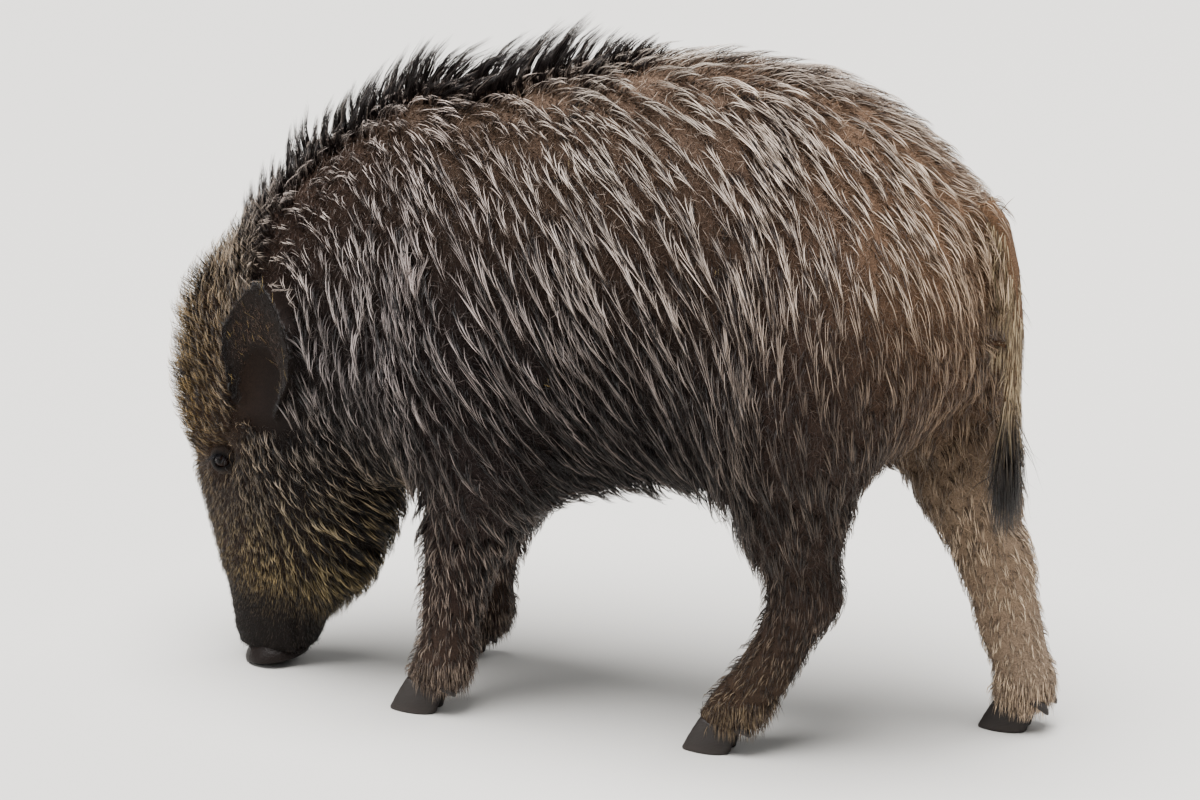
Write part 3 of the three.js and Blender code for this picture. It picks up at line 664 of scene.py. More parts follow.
def clear_of_ears(points):
    """True away from the cups of the ears. The cup also takes in the skull at the ear's root."""
    ok = np.ones(len(points), bool)
    for name, side in SIDES.items():
        low, high = (np.array(corner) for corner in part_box(f"ear_{name}"))
        aside = points[:, 1] * side
        root, rim = np.sort(np.abs((low[1], high[1])))
        inside = (aside > root - 22 * MM) & (aside < rim - 7 * MM)
        for axis, below, above in ((0, 7, 15), (2, -14, 7)):
            level = points[:, axis]
            inside &= (level > low[axis] + below * MM) & (level < high[axis] - above * MM)
        ok &= ~inside
    return ok


def clear_of_eyes(points):
    """True away from the openings of the eyes."""
    ok = np.ones(len(points), bool)
    for name, side in SIDES.items():
        rel = points - middle(f"eye_{name}")
        off = rel - dot(rel, gaze(side)) * gaze(side)
        ok &= (np.linalg.norm(off, axis=1) > 13.8 * MM) | (points[:, 1] * side < 0)
    return ok


def spaced(rng, points, lies, gap, stretch):
    """Which points to keep so that each has an oval to itself, longer along the lie of the coat
    than across it. In each round the points with the lowest lot of their own oval are kept, and
    the others in those ovals drop out."""
    points, lies = points.astype(np.float32), lies.astype(np.float32)
    square = (points**2).sum(1)
    gap2 = square[:, None] + square - 2 * points @ points.T
    along = lies @ points.T - (points * lies).sum(1)[:, None]
    near = gap2 - (1 - 1 / stretch**2) * along**2 < gap**2
    lots = rng.permutation(len(points)).astype(np.int32)
    left, kept = np.ones(len(points), bool), np.zeros(len(points), bool)
    while left.any():
        lowest = np.where(near & left, lots, len(points)).min(1)
        best = left & (lowest == lots)
        kept |= best
        left &= ~near[best].any(0)
    return kept


LOCK_LINE = np.linspace(0.0, 1.0, 7)


def lock_roots(rng, chosen, gap, stretch):
    """Where locks root, and the normals there: evenly, or each in an oval of its own."""
    if stretch == 1.0:
        return the_hide().roots(rng, gap * MM, chosen)
    roots, normals = the_hide().roots(rng, gap * 0.5 * MM, chosen)
    kept = spaced(rng, roots, fur_at(roots).lie, gap * MM, stretch)
    return roots[kept], normals[kept]


def locks(name, chosen, gap, strands, seed, unwrap, width=1.2, rings=(0, 0.3, 0.65, 1), stretch=1.0):
    """A piece of coat made of locks. Each has a middle line that lies over the skin. Its hairs
    root on both sides of the line and one after another along it, curve in to it by a power law
    and draw together at the tip, so that a lock looks like a feather. Pale hairs lie on top."""
    rng = np.random.default_rng(seed)
    roots, normals = lock_roots(rng, chosen, gap, stretch)
    fur = fur_at(roots)
    count = len(roots)
    ways = unit(fur.lie + rng.normal(0, 0.13, (count, 3)))
    long = fur.long * rng.uniform(0.9, 1.3, count)
    height = fur.deep * fur.rise * rng.uniform(0.6, 1.0, count)
    line = lay_hair(the_hide(), roots, normals, ways, long, height, LOCK_LINE)
    pick = np.repeat(np.arange(count), strands)
    many = len(pick)
    pale = (rng.random(many) < fur.share[pick]) * rng.uniform(0.55, 1.0, many)
    pale = (pale * rng.uniform(0.35, 1.0, count)[pick])[:, None]
    u = np.asarray(rings)[None, :]
    start = rng.uniform(0, 0.55, (many, 1))
    s = start + np.minimum(1 - start, rng.uniform(0.4, 0.62, (many, 1))) * u
    spot = s * (len(LOCK_LINE) - 1)
    step = np.minimum(spot.astype(int), len(LOCK_LINE) - 2)
    path = line[pick[:, None], step]
    path = path + (line[pick[:, None], step + 1] - path) * (spot - step)[..., None]
    up, fall = normals[pick], height[pick][:, None] * (1 - (1 - s) ** 1.8)
    path = path - up[:, None] * (fall * (1 - smooth(u, 0, 0.45)) + (u == 0) * 1.5 * MM)[..., None]
    path = path + up[:, None] * (pale * 2.0 * MM * np.sin(u * math.pi * 0.7))[..., None]
    side = unit(np.cross(line[:, -1] - line[:, 0], normals))[pick]
    apart = rng.uniform(-1, 1, (many, 1)) * gap * 0.75 * MM
    close = 1 - fur.gather[pick][:, None] * (1 - (1 - u) ** 2.4)
    path = path + side[:, None] * (apart * close)[..., None]
    curl = rng.normal(0, 4.5 * MM, (count, 1))[pick] * s**2 * fur.long[pick][:, None] / 0.09
    path = path + side[:, None] * curl[..., None]
    path = path + rng.normal(0, 1.0 * MM, (many, 1, 3)) * (u**1.5)[..., None]
    ups = unit(up + 0.5 * rng.normal(0, 1, (many, 3)))
    thick = width * MM * rng.uniform(0.7, 1.1, many) * (1 + 0.25 * pale[:, 0])
    dark = fur.dark[pick] * 0.8
    # The pale colour is partly the hairs' own pale tips and partly painted highlight from overhead.
    body = mix(dark, fur.pale[pick], pale) * rng.uniform(0.8, 1.25, (many, 1))
    tones = (dark * 0.7, body, body * 1.15)
    hairs(name, "coat", path, ups, thick, rings, tones, unwrap(path[:, 0]), blend=0.55)


def undercoat(name, chosen, spacing, seed, unwrap, width, longest=22):
    """Short woolly hairs close to the skin, which fill the gaps between the locks."""
    rng, rings = np.random.default_rng(seed), (0, 1)
    roots, normals = the_hide().roots(rng, spacing * MM, chosen)
    fur = fur_at(roots)
    count = len(roots)
    ways = unit(fur.lie + rng.normal(0, 0.75, (count, 3)))
    long = np.minimum(fur.long * 0.5, longest * MM) * rng.uniform(0.6, 1.2, count)
    tall = np.minimum(fur.deep * 0.55, long * 0.6)
    line = lay_hair(the_hide(), roots, normals, ways, long, tall, rings)
    ups = unit(normals + 0.6 * rng.normal(0, 1, (count, 3)))
    thick = width * MM * rng.uniform(0.7, 1.2, count)
    # Flecks of the pale colour: partly pale tips, partly painted highlight from overhead.
    body = mix(fur.under, fur.pale, some(rng, count, 0.3, 0.1, 0.5))
    body = body * rng.uniform(0.45, 1.5, (count, 1))
    tones = (fur.under * 0.5, body, body * 1.2)
    hairs(name, "coat", line, ups, thick, rings, tones, unwrap(roots))


# ---------- skin ----------


SWELL = 2.5 * MM


def near_seams(points, zone):
    """1 where two nodes of the trunk or of a leg meet, by a bell curve of the distance, else 0."""
    walls = [(0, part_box(name)[0][0]) for name in ("forequarters", "barrel", "hindquarters")]
    walls += [(2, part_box(name)[1][2]) for name in ("foreleg_left", "forefoot_left")]
    near = np.zeros(len(points))
    for axis, wall in walls:
        near = np.maximum(near, np.exp(-(((points[:, axis] - wall) / 0.024) ** 2)))
    near[np.isin(zone, zones_of(*HEAD, "ear", "tail"))] = 0.0
    return near[:, None]


def swollen(name):
    """A node of flesh, swollen a little so that it runs into its neighbours, as an array of points
    and one of triangles."""
    part = bmesh.new()
    part.from_mesh(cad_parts[name].data)
    bmesh.ops.remove_doubles(part, verts=part.verts, dist=1e-5)
    mesh = bpy.data.meshes.new(name)
    part.to_mesh(mesh)
    part.free()
    mesh.calc_loop_triangles()
    points = read(mesh.vertices, "co", 3) + read(mesh.vertex_normals, "vector", 3) * SWELL
    return points, read(mesh.loop_triangles, "vertices", 3, np.int32)


def scratch_object(name, mesh):
    """An object that holds a mesh while modifiers work on it."""
    piece = bpy.data.objects.new(name, mesh)
    bpy.context.scene.collection.objects.link(piece)
    return piece


def remeshed(flesh, voxel):
    """One even skin of quads round a set of closed shells. Each point takes its zone, which is
    written as a shade of grey, from the nearest face of the shells."""
    modifier = flesh.modifiers.new("one skin", "REMESH")
    modifier.mode = "VOXEL"
    modifier.voxel_size = voxel
    mesh = evaluated(flesh)
    flesh.modifiers.clear()
    mesh.color_attributes.new("zone", "FLOAT_COLOR", "POINT")
    piece = scratch_object("remeshed", mesh)
    modifier = piece.modifiers.new("zones", "DATA_TRANSFER")
    modifier.object = flesh
    modifier.use_vert_data = True
    modifier.data_types_verts = {"COLOR_VERTEX"}
    modifier.vert_mapping = "POLYINTERP_NEAREST"
    mesh = evaluated(piece)
    bpy.data.objects.remove(piece)
    grey = read(mesh.color_attributes["zone"].data, "color", 4)[:, 0]
    mesh.color_attributes.remove(mesh.color_attributes["zone"])
    return mesh, np.round(grey * 100).astype(np.int32)


def evaluated(piece):
    """A new mesh with the modifiers of a piece applied."""
    graph = bpy.context.evaluated_depsgraph_get()
    return bpy.data.meshes.new_from_object(piece.evaluated_get(graph))


def relax(values, edges, rounds, rate):
    """Moves each point's values towards the mean of its neighbours, some rounds at given rates."""
    ends = np.concatenate((edges, edges[:, ::-1]))
    total = len(values)
    count = np.bincount(ends[:, 0], minlength=total)[:, None]
    for i in range(rounds):
        near = values[ends[:, 1]]
        mean = np.stack([np.bincount(ends[:, 0], column, total) for column in near.T], -1)
        values = values + rate[i % len(rate)] * (mean / count - values)
    return values


def depth_under(points, zone):
    """How deep the skin lies: by the table of the coat, but little on ears and tail, at the eyes
    and where the muzzle runs in to the edge of the snout disc."""
    depth = np.concatenate([fur_at(part).deep for part in np.array_split(points, 8)])
    for names, level in (("ear", 1.0), ("tail", 6.0)):
        depth = np.where(np.isin(zone, zones_of(names)), level * MM, depth)
    for name in SIDES:
        gap = np.linalg.norm(points - middle(f"eye_{name}"), axis=1)
        depth = mix(depth, 3.0 * MM, np.exp(-((gap / 0.034) ** 2)))
    end = smooth(on_head(points)[0], 0.384, 0.41)
    return depth + 9 * MM * end * np.isin(zone, zones_of("muzzle", "lower_jaw"))


def bed_eyes(points):
    """Brings the skin round each eye to the height at which the lids come out of it: a profile
    over the distance from the line of sight, which fades into the skin further out."""
    away = np.array((0, 12, 15, 18, 21, 26)) * MM
    level = np.array((1.0, 2.5, 4.5, 4.2, 3.6, 3.0)) * MM
    for name, side in SIDES.items():
        rel = points - middle(f"eye_{name}")
        height = dot(rel, gaze(side))
        off = np.linalg.norm(rel - height * gaze(side), axis=1)[:, None]
        near = (1 - smooth(off, 0.018, 0.036)) * smooth(height, -0.03, -0.015)
        points = points + (np.interp(off, away, level) - height) * near * gaze(side)
    return points


def carve_face(points, normals, zone):
    """Folds of the head: the mouth and the creases behind the nose. Each is a depth along the
    normal, by a bell curve of the distance from its line. The end of the muzzle runs down to the
    snout disc, and the feet run down over the hooves."""
    along, up, _ = on_head(points)
    mouth = up + 0.036 + 0.16 * (0.400 - along)
    cut = 3.2 * MM * np.exp(-((mouth / 0.0035) ** 2)) * smooth(along, 0.285, 0.31)
    crease = 0.5 + 0.5 * np.cos(along / 0.0115 * 2 * math.pi)
    bridge = smooth(along, 0.33, 0.37) * (1 - smooth(along, 0.4, 0.41)) * smooth(up, -0.02, 0.02)
    cut += 1.3 * MM * crease * bridge
    end = 26 * MM * smooth(along, 0.37, 0.395) * smooth(up, -0.066, -0.04)
    cuff = 7 * MM * (1 - smooth(points[:, 2], 0.035, 0.06))
    down = end * np.isin(zone, zones_of("muzzle", "lower_jaw"))
    down += cuff * np.isin(zone, zones_of("forefoot", "hindfoot"))
    return points - normals * cut[:, None] + down[:, None] * AHEAD


def hide_tone(points, zone):
    """The skin's colour: the coat's own undercoat colour, darkened, and bare skin at the snout."""
    fur = fur_at(points)
    muzzle = np.isin(zone, zones_of("muzzle", "lower_jaw"))
    bare = (muzzle * smooth(on_head(points)[0], 0.33, 0.36))[:, None]
    tone = mix(fur.under * 0.42 + fur.dark * 0.3, linear("110c0a"), bare)
    return mix(tone, linear("16100d"), np.isin(zone, zones_of("ear"))[:, None])


def vertex_normals(mesh, points):
    """The normals of a mesh once its points are moved."""
    mesh.vertices.foreach_set("co", points.astype(np.float32).ravel())
    mesh.update()
    return read(mesh.vertex_normals, "vector", 3)


def fused_flesh(voxel):
    """All the nodes of flesh made one shell, as a mesh with the zone of each of its points."""
    parts = [swollen(name) for name in FLESH]
    number = np.repeat(np.arange(len(FLESH)), [len(points) for points, _ in parts])
    flesh = scratch_object("flesh", mesh_of("flesh", *joined(parts)))
    paint(flesh.data, "zone", np.repeat(number[:, None] / 100, 3, 1))
    mesh, zone = remeshed(flesh, voxel)
    bpy.data.objects.remove(flesh)
    return mesh, zone


def build_skin(voxel, limit):
    """The skin: nodes made one, relaxed, sunk by the coat's depth, carved, and thinned out."""
    mesh, zone = fused_flesh(voxel)
    points = read(mesh.vertices, "co", 3)
    edges = read(mesh.edges, "vertices", 2, np.int32)
    thin = np.isin(zone, zones_of("ear")).astype(float)[:, None]
    thin = relax(thin, edges, 6, (0.5,))
    even = relax(points, edges, 60, (0.55, -0.57))
    slight = relax(points, edges, 6, (0.5, -0.52))
    points = mix(even, slight, thin)
    seam = relax(near_seams(points, zone), edges, 8, (0.5,))
    points = mix(points, relax(points, edges, 70, (0.5,)), seam)
    normals = relax(vertex_normals(mesh, points), edges, 6, (0.5,))
    depth = relax(depth_under(points, zone)[:, None], edges, 24, (0.5,))
    points = points - unit(normals) * (mix(depth, 1.0 * MM, thin) + SWELL)
    points = mix(relax(points, edges, 10, (0.5, -0.5)), points, thin)
    points = bed_eyes(carve_face(points, vertex_normals(mesh, points), zone))
    vertex_normals(mesh, points)
    mesh.attributes.new("zone", "INT", "POINT").data.foreach_set("value", zone)
    return thinned(scratch_object("skin", mesh), limit, points)


def thinned(piece, limit, points):
    """Collapses a piece to a number of triangles, the head least of all."""
    group = piece.vertex_groups.new(name="plain")
    body = smooth(points[:, 0], -0.33, -0.26)
    wanted = np.select([body > 0.66, body > 0.33], [1.0, 0.5], 0.12)
    for level in (0.12, 0.5, 1.0):
        group.add(np.nonzero(wanted == level)[0].tolist(), level, "REPLACE")
    modifier = piece.modifiers.new("fewer faces", "DECIMATE")
    modifier.ratio = min(1.0, limit / (2 * len(piece.data.polygons)))
    modifier.vertex_group = "plain"
    thin = evaluated(piece)
    piece.modifiers.clear()
    piece.vertex_groups.clear()
    piece.data = thin
    return piece


# ---------- operators ----------


class StageSettings(bpy.types.PropertyGroup):
    """Where the camera is."""

    azimuth: FloatProperty(
        name="Azimuth",
        description="How far the camera stands behind the left side",
        default=math.radians(20),
        subtype="ANGLE",
    )
    elevation: FloatProperty(
        name="Elevation",
        description="How far the camera stands above the floor",
        default=math.radians(18),
        subtype="ANGLE",
    )
    distance: FloatProperty(
        name="Distance", description="From the camera to the body", default=5.5, unit="LENGTH"
    )
    lens: FloatProperty(
        name="Lens", description="Focal length in mm", default=140.25, subtype="DISTANCE_CAMERA"
    )


class SkinSettings(bpy.types.PropertyGroup):
    """How finely the skin is made."""

    voxel: FloatProperty(
        name="Detail", description="Size of the skin's cells", default=3.2 * MM, unit="LENGTH"
    )
    limit: IntProperty(name="Triangles", description="Most triangles in the skin", default=150000)


class CoatSettings(bpy.types.PropertyGroup):
    """Sizes of the coat."""

    lock: FloatProperty(
        name="Lock spacing", description="Between locks of the body", default=14.5 * MM, unit="LENGTH"
    )
    stretch: FloatProperty(
        name="Lock stretch", description="Spacing along the coat over that across it", default=2.2
    )
    strands: IntProperty(name="Hairs in a lock", description="Hairs of a body lock", default=19)
    under: FloatProperty(
        name="Undercoat spacing", description="Between woolly hairs", default=4.3 * MM, unit="LENGTH"
    )
    face: FloatProperty(
        name="Face spacing", description="Between tufts of the face", default=3.6 * MM, unit="LENGTH"
    )
    leg: FloatProperty(
        name="Leg spacing", description="Between tufts of the legs", default=4.6 * MM, unit="LENGTH"
    )


def millimetres(length):
    """A length setting in mm, to the single precision that settings have."""
    return float(np.float32(length / MM))


class PieceSettings(bpy.types.PropertyGroup):
    """Colours of the bare pieces."""

    iris: FloatVectorProperty(
        name="Iris", description="Of the eyes", default=tuple(linear("150b07")), subtype="COLOR"
    )
    horn: FloatVectorProperty(
        name="Horn", description="Of the hooves", default=tuple(linear("1e1815")), subtype="COLOR"
    )
    nose: FloatVectorProperty(
        name="Nose", description="Of the snout disc", default=tuple(linear("17110f")), subtype="COLOR"
    )


class BOAR_OT_stage(bpy.types.Operator):
    """Pale floor, soft studio light and the camera"""

    bl_idname = "boar.stage"
    bl_label = "Stage"

    def execute(self, context):
        settings = context.scene.boar_stage
        a, e = settings.azimuth, settings.elevation
        back = Vector((math.sin(a) * math.cos(e), -math.cos(a) * math.cos(e), math.sin(e)))
        data = bpy.data.cameras.new("camera")
        data.lens = settings.lens
        data.shift_y = -15 / 1200  # of the frame's width
        data.clip_end = 100
        camera = bpy.data.objects.new("camera", data)
        camera.location = Vector((0, 0, 0.4)) + back * settings.distance
        camera.rotation_euler = back.to_track_quat("Z", "Y").to_euler()
        context.scene.collection.objects.link(camera)
        context.scene.camera = camera
        self.floor()
        self.lights(context)
        return {"FINISHED"}

    def floor(self):
        """A wide flat floor, a hair's breadth under the hooves."""
        points = [(x, y, -0.5 * MM) for x, y in ((-30, -30), (30, -30), (30, 30), (-30, 30))]
        mesh = bpy.data.meshes.new("floor")
        mesh.from_pydata(points, [], [(0, 1, 2, 3)])
        mesh.materials.append(studio_material())
        floor = bpy.data.objects.new("floor", mesh)
        bpy.context.scene.collection.objects.link(floor)

    def lights(self, context):
        """A broad soft light overhead, weaker ones at the side and behind, and a little all round."""
        area = {"size": 2.6, "specular_factor": 0.3}
        plan = {
            "over": ("SUN", (-0.2, -0.6, 4.0), {"energy": 12.0, "angle": math.radians(50)}),
            "side": ("AREA", (-3.4, -3.6, 2.4), {"energy": 90.0, **area}),
            "rim": ("AREA", (2.6, 2.6, 3.0), {**area, "energy": 80.0, "size": 2.4}),
        }
        for name, (kind, place, settings) in plan.items():
            data = bpy.data.lights.new(name, kind)
            for key, value in settings.items():
                setattr(data, key, value)
            light = bpy.data.objects.new(name, data)
            light.location = place
            aim = Vector((0, 0, 0.45)) - light.location
            light.rotation_euler = aim.to_track_quat("-Z", "Y").to_euler()
            context.scene.collection.objects.link(light)
        world = bpy.data.worlds.new("studio")
        world.use_nodes = True
        sky = world.node_tree.nodes["Background"].inputs
        sky["Color"].default_value = (0.9, 0.95, 1.0, 1)
        sky["Strength"].default_value = 0.24
        context.scene.world = world


class BOAR_OT_skin(bpy.types.Operator):
    """One skin in place of all the nodes of flesh"""

    bl_idname = "boar.skin"
    bl_label = "Skin"

    def execute(self, context):
        settings = context.scene.boar_skin
        piece = build_skin(settings.voxel, settings.limit)
        mesh = piece.data
        if not len(mesh.polygons):
            raise RuntimeError("the skin came out empty")
        points = read(mesh.vertices, "co", 3)
        zone = read(mesh.attributes["zone"].data, "value", 1, np.int32).ravel()
        paint(mesh, "tone", hide_tone(points, zone))
        mesh.materials.clear()
        mesh.materials.append(hide_material())
        mesh.polygons.foreach_set("use_smooth", np.ones(len(mesh.polygons), bool))
        own(piece, FLESH)
        return {"FINISHED"}


class BOAR_OT_eyes(bpy.types.Operator):
    """Two dark eyes with their lids and lashes"""

    bl_idname = "boar.eyes"
    bl_label = "Eyes and lids"
    LID = 12.9  # mm from the eye's middle to the inside of the lids

    def execute(self, context):
        for name, side in SIDES.items():
            self.ball(name, side, context.scene.boar_pieces.iris)
        self.lids()
        self.lashes()
        return {"FINISHED"}

    def axes(self, side):
        """The way the eye looks, the way up the head, and the way across."""
        out = gaze(side)
        up = unit(-AHEAD - out * (-AHEAD @ out))
        return out, up, np.cross(out, up)

    def ball(self, name, side, iris):
        """A sphere whose cornea bulges by a bell curve of the angle from the way it looks.
        The pupil is an oval and the iris fills the whole of the opening."""
        out, up, across = self.axes(side)
        centre = middle(f"eye_{name}")
        turn = np.linspace(0, math.pi, 33)[1:-1, None, None]
        spin = circle(48)[:, None]
        radius = 12.3 * MM * (1 + 0.05 * np.exp(-((turn / 0.5) ** 2)))
        ray = np.sin(turn) * (np.cos(spin) * up + np.sin(spin) * across) + np.cos(turn) * out
        points, faces = capped(radius * ray + centre)
        ray = unit(points - centre)
        oval = np.hypot(ray @ up * 1.5, ray @ across)[:, None]
        tone = mix(linear("060505"), np.array(iris), smooth(oval, 0.3, 0.36))
        tone = mix(tone, linear("2d1f1a"), smooth(oval, 0.93, 0.99))
        replaced = (f"eye_{name}",)
        new_object(f"eye_{name}_ball", points, faces, eye_material(), "eye", replaced, tone)

    def almond(self, spin):
        """The opening's edge in mm: an almond, as ways across and up."""
        return 12.0 * np.cos(spin), 7.8 * np.sin(spin) * (1 - 0.25 * np.cos(spin) ** 2)

    def lids(self):
        """Lids: a profile that rolls off the eyeball over a soft rim and sinks into the skin,
        carried round an almond. The edge is darkest, partly the lid's own dark rim and partly painted
        shade in the hollow of the opening."""
        parts, tones = [], []
        step = np.array((0.0, 0.6, 1.6, 2.8, 4.4, 6.6, 9.0, 11.0))
        rise = np.array((-0.8, 1.0, 1.8, 1.5, 0.4, -1.4, -3.8, -7.0))
        wide, tall = self.almond(circle(56)[:, None])
        reach = np.hypot(wide, tall)
        height = np.sqrt(self.LID**2 - np.minimum(reach, 12.2) ** 2) + rise
        for name, side in SIDES.items():
            out, up, across = self.axes(side)
            grow = (1 + step / reach)[..., None]
            flat = wide[..., None] * grow * across + tall[..., None] * grow * up
            grid = (flat + height[..., None] * out) * MM + middle(f"eye_{name}")
            parts.append(sealed_band(grid.transpose(1, 0, 2)))
            # Darker towards the opening: the lid's dark rim and painted shade of the eye's hollow.
            edge = np.repeat(smooth(np.concatenate((step, step[::-1])), 2.5, 8.0), len(wide))
            tones.append(mix(linear("0a0706"), linear("2a221d"), edge[:, None]))
        new_object("eyelids", *joined(parts), hide_material(), "face", (), np.concatenate(tones))

    def lashes(self):
        """Lashes along the upper lid, bending down past the eye."""
        rng, rings, count = np.random.default_rng(21), (0, 0.5, 1), 36
        paths = []
        for name, side in SIDES.items():
            out, up, across = self.axes(side)
            wide, tall = self.almond(np.arccos(rng.uniform(-0.92, 0.92, (count, 1))))
            high = np.sqrt(self.LID**2 - wide**2 - tall**2) + 0.6
            foot = (wide * across + (tall + 0.8) * up + high * out) * MM + middle(f"eye_{name}")
            spread = rng.normal(0, 0.12, (count, 3))
            ways = unit(out * 0.8 + up * 0.1 + across * wide / 26 + spread)
            long = rng.uniform(10, 17, count) * MM
            paths.append(stiff_hair(foot, ways, -0.75 * up + 0.12 * ways, long, rings))
        path = np.concatenate(paths)
        row = np.arange(2 * count)
        ups = unit(rng.normal(0, 1, (2 * count, 3)))
        tone = np.tile(linear("1b1a1d"), (2 * count, 1))
        wrap = np.stack((row % 9.0, row // 9), -1)
        hairs("lashes", "face", path, ups, np.full(2 * count, 0.8 * MM), rings, (tone,) * 3, wrap)


class BOAR_OT_snout(bpy.types.Operator):
    """The snout disc with its rim and nostrils"""

    bl_idname = "boar.snout"
    bl_label = "Snout disc"

    def execute(self, context):
        """Rings run out over the face of the disc, round its rim and back into the muzzle.
        Each nostril is a pit whose depth follows a smooth step of an oval distance, and the pit is
        painted darker as painted shade."""
        spin = circle(96)[None]
        face = np.linspace(0.04, 1.0, 34)[:, None]
        side = np.linspace(0, 1, 12)[1:, None]
        radius = np.concatenate((face, 1.0 + 0.05 * np.sin(side * math.pi) - 0.42 * side**1.5))
        dish = 2.2 * smooth(face, 0.84, 1.0) ** 2 - 1.2 * smooth(1 - face, 0, 0.5)
        back = np.concatenate((dish, 2.2 + 26 * side))
        up = 39 * radius * np.cos(spin) * (1 - 0.04 * np.cos(spin)) + 7
        out = 41 * radius * np.sin(spin) * (1 - 0.05 * np.cos(spin))
        oval = np.hypot((np.abs(out) - 13.5 - 0.12 * up) / 6.4, (up - 4.0) / 9.0)
        front = np.concatenate((np.ones_like(face), np.zeros_like(side))) + 0 * spin
        pit = 13.0 * (1 - smooth(oval, 0.55, 1.05)) - 1.6 * np.exp(-(((oval - 1.3) / 0.2) ** 2))
        along = 440.0 - back + 0.13 * up - pit * front
        flat = np.stack((along, up, out), -1) @ np.array((AHEAD, DORSAL, (0, 1, 0)))
        grid = POLL + MM * flat
        grid[..., 2] = np.maximum(grid[..., 2], 0.3 * MM)
        points, faces = capped(grid)
        # Painted shade: the nostril pits are darkened by up to three quarters.
        dark = 0.75 * (1 - smooth(oval, 0.5, 1.0)) * front
        tone = np.array(context.scene.boar_pieces.nose) * (1 - np.append(dark, (0, 0)))[:, None]
        new_object("snout_face", points, faces, snout_material(), "snout", ("snout_disc",), tone)
        return {"FINISHED"}


class BOAR_OT_hooves(bpy.types.Operator):
    """Eight main hooves and eight dewclaws"""

    bl_idname = "boar.hooves"
    bl_label = "Hooves and dewclaws"

    def execute(self, context):
        names = [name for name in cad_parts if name.startswith(("hoof", "dewclaw"))]
        if len(names) != 16:
            raise RuntimeError("the solids should hold sixteen hooves and dewclaws")
        for name in names:
            build = self.claw if name.startswith("hoof") else self.dewclaw
            points, faces = build(name)
            worn = 1 + 0.5 * (1 - smooth(points[:, 2], 0.0, 0.014))[:, None]
            tone = np.array(context.scene.boar_pieces.horn) * worn
            new_object(f"{name}_horn", points, faces, horn_material(), "horn", (name,), tone)
        return {"FINISHED"}

    def claw(self, name):
        """D-shaped rings from the flat sole up to the sloping coronet: the outer wall is round,
        the inner one flat, and the toe narrows. Growth rings swell the wall by a sine."""
        low, high = (np.array(v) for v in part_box(name))
        outward = np.sign((low + high)[1]) * (1 if name.endswith("outer") else -1)
        wall = np.linspace(0, 1.12, 22)[1:]
        level = np.concatenate(([0.0, 0.0], wall))[:, None]
        spin = circle(44)[None]
        grow = np.concatenate(([0.6, 0.94], 0.985 - 0.09 * wall))[:, None]
        grow = grow + 0.004 * np.sin(level * 21 + 0.6 * np.sin(spin)) * smooth(level, 0.05, 0.2)
        long, wide = (high - low)[0] * 0.92, (high - low)[1] * 1.12
        ahead, out = np.cos(spin), np.sin(spin)
        reach = long * grow / 2 * ahead - 4 * MM * level * ahead
        across = np.where(out > 0, out, 0.62 * out) * wide / 2 * grow * (1 - 0.28 * ahead)
        x = low[0] + long / 2 + 14 * MM * level - reach
        y = (low + high)[1] / 2 + outward * (across - 0.06 * wide + 0.06 * reach)
        z = level * (32 * MM - 0.26 * (x - low[0] - long * 0.74))
        return capped(np.stack(np.broadcast_arrays(x, y, z), -1))

    def dewclaw(self, name):
        """A short curved horn: oval rings along an arc from the back of the foot, down and back."""
        low, high = (np.array(v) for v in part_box(name))
        t = np.linspace(0, 1, 14)[:, None, None]
        spin = circle(24)[:, None]
        start = np.array((low[0] - 5 * MM, (low[1] + high[1]) / 2, high[2] - 3 * MM))
        end = np.array((high[0] - 1 * MM, (low[1] + high[1]) / 2, low[2] + 1.5 * MM))
        arc = np.array((2.5, 0, 1.5)) * MM * np.sin(t * math.pi)
        path = start + (end - start) * t + arc
        radius = 6.6 * MM * np.sqrt(np.maximum(1 - t**2.6, 0.02))
        side = np.array((0, 1.0, 0))
        over = np.cross(unit(end - start), side)
        return capped(path + radius * (np.cos(spin) * side + 0.8 * np.sin(spin) * over))


class BOAR_OT_body_coat(bpy.types.Operator):
    """Long locks and woolly undercoat of neck, trunk and rump"""

    bl_idname = "boar.body_coat"
    bl_label = "Body coat"

    def execute(self, context):
        coat = context.scene.boar_coat
        lock, under, seed = millimetres(coat.lock), millimetres(coat.under), 11
        for node in TRUNK:
            for name, side in SIDES.items():
                chosen, piece = chosen_tris((node,), side), f"coat_{node}_{name}"
                locks(piece, chosen, lock, coat.strands, seed, round_body, stretch=coat.stretch)
                seed += 1
        front = the_hide().centres[:, 0] < 0.05
        for end, part in (("front", front), ("back", ~front)):
            undercoat(f"undercoat_{end}", chosen_tris(TRUNK) & part, under, seed, round_body, 1.2)
            seed += 1
        return {"FINISHED"}


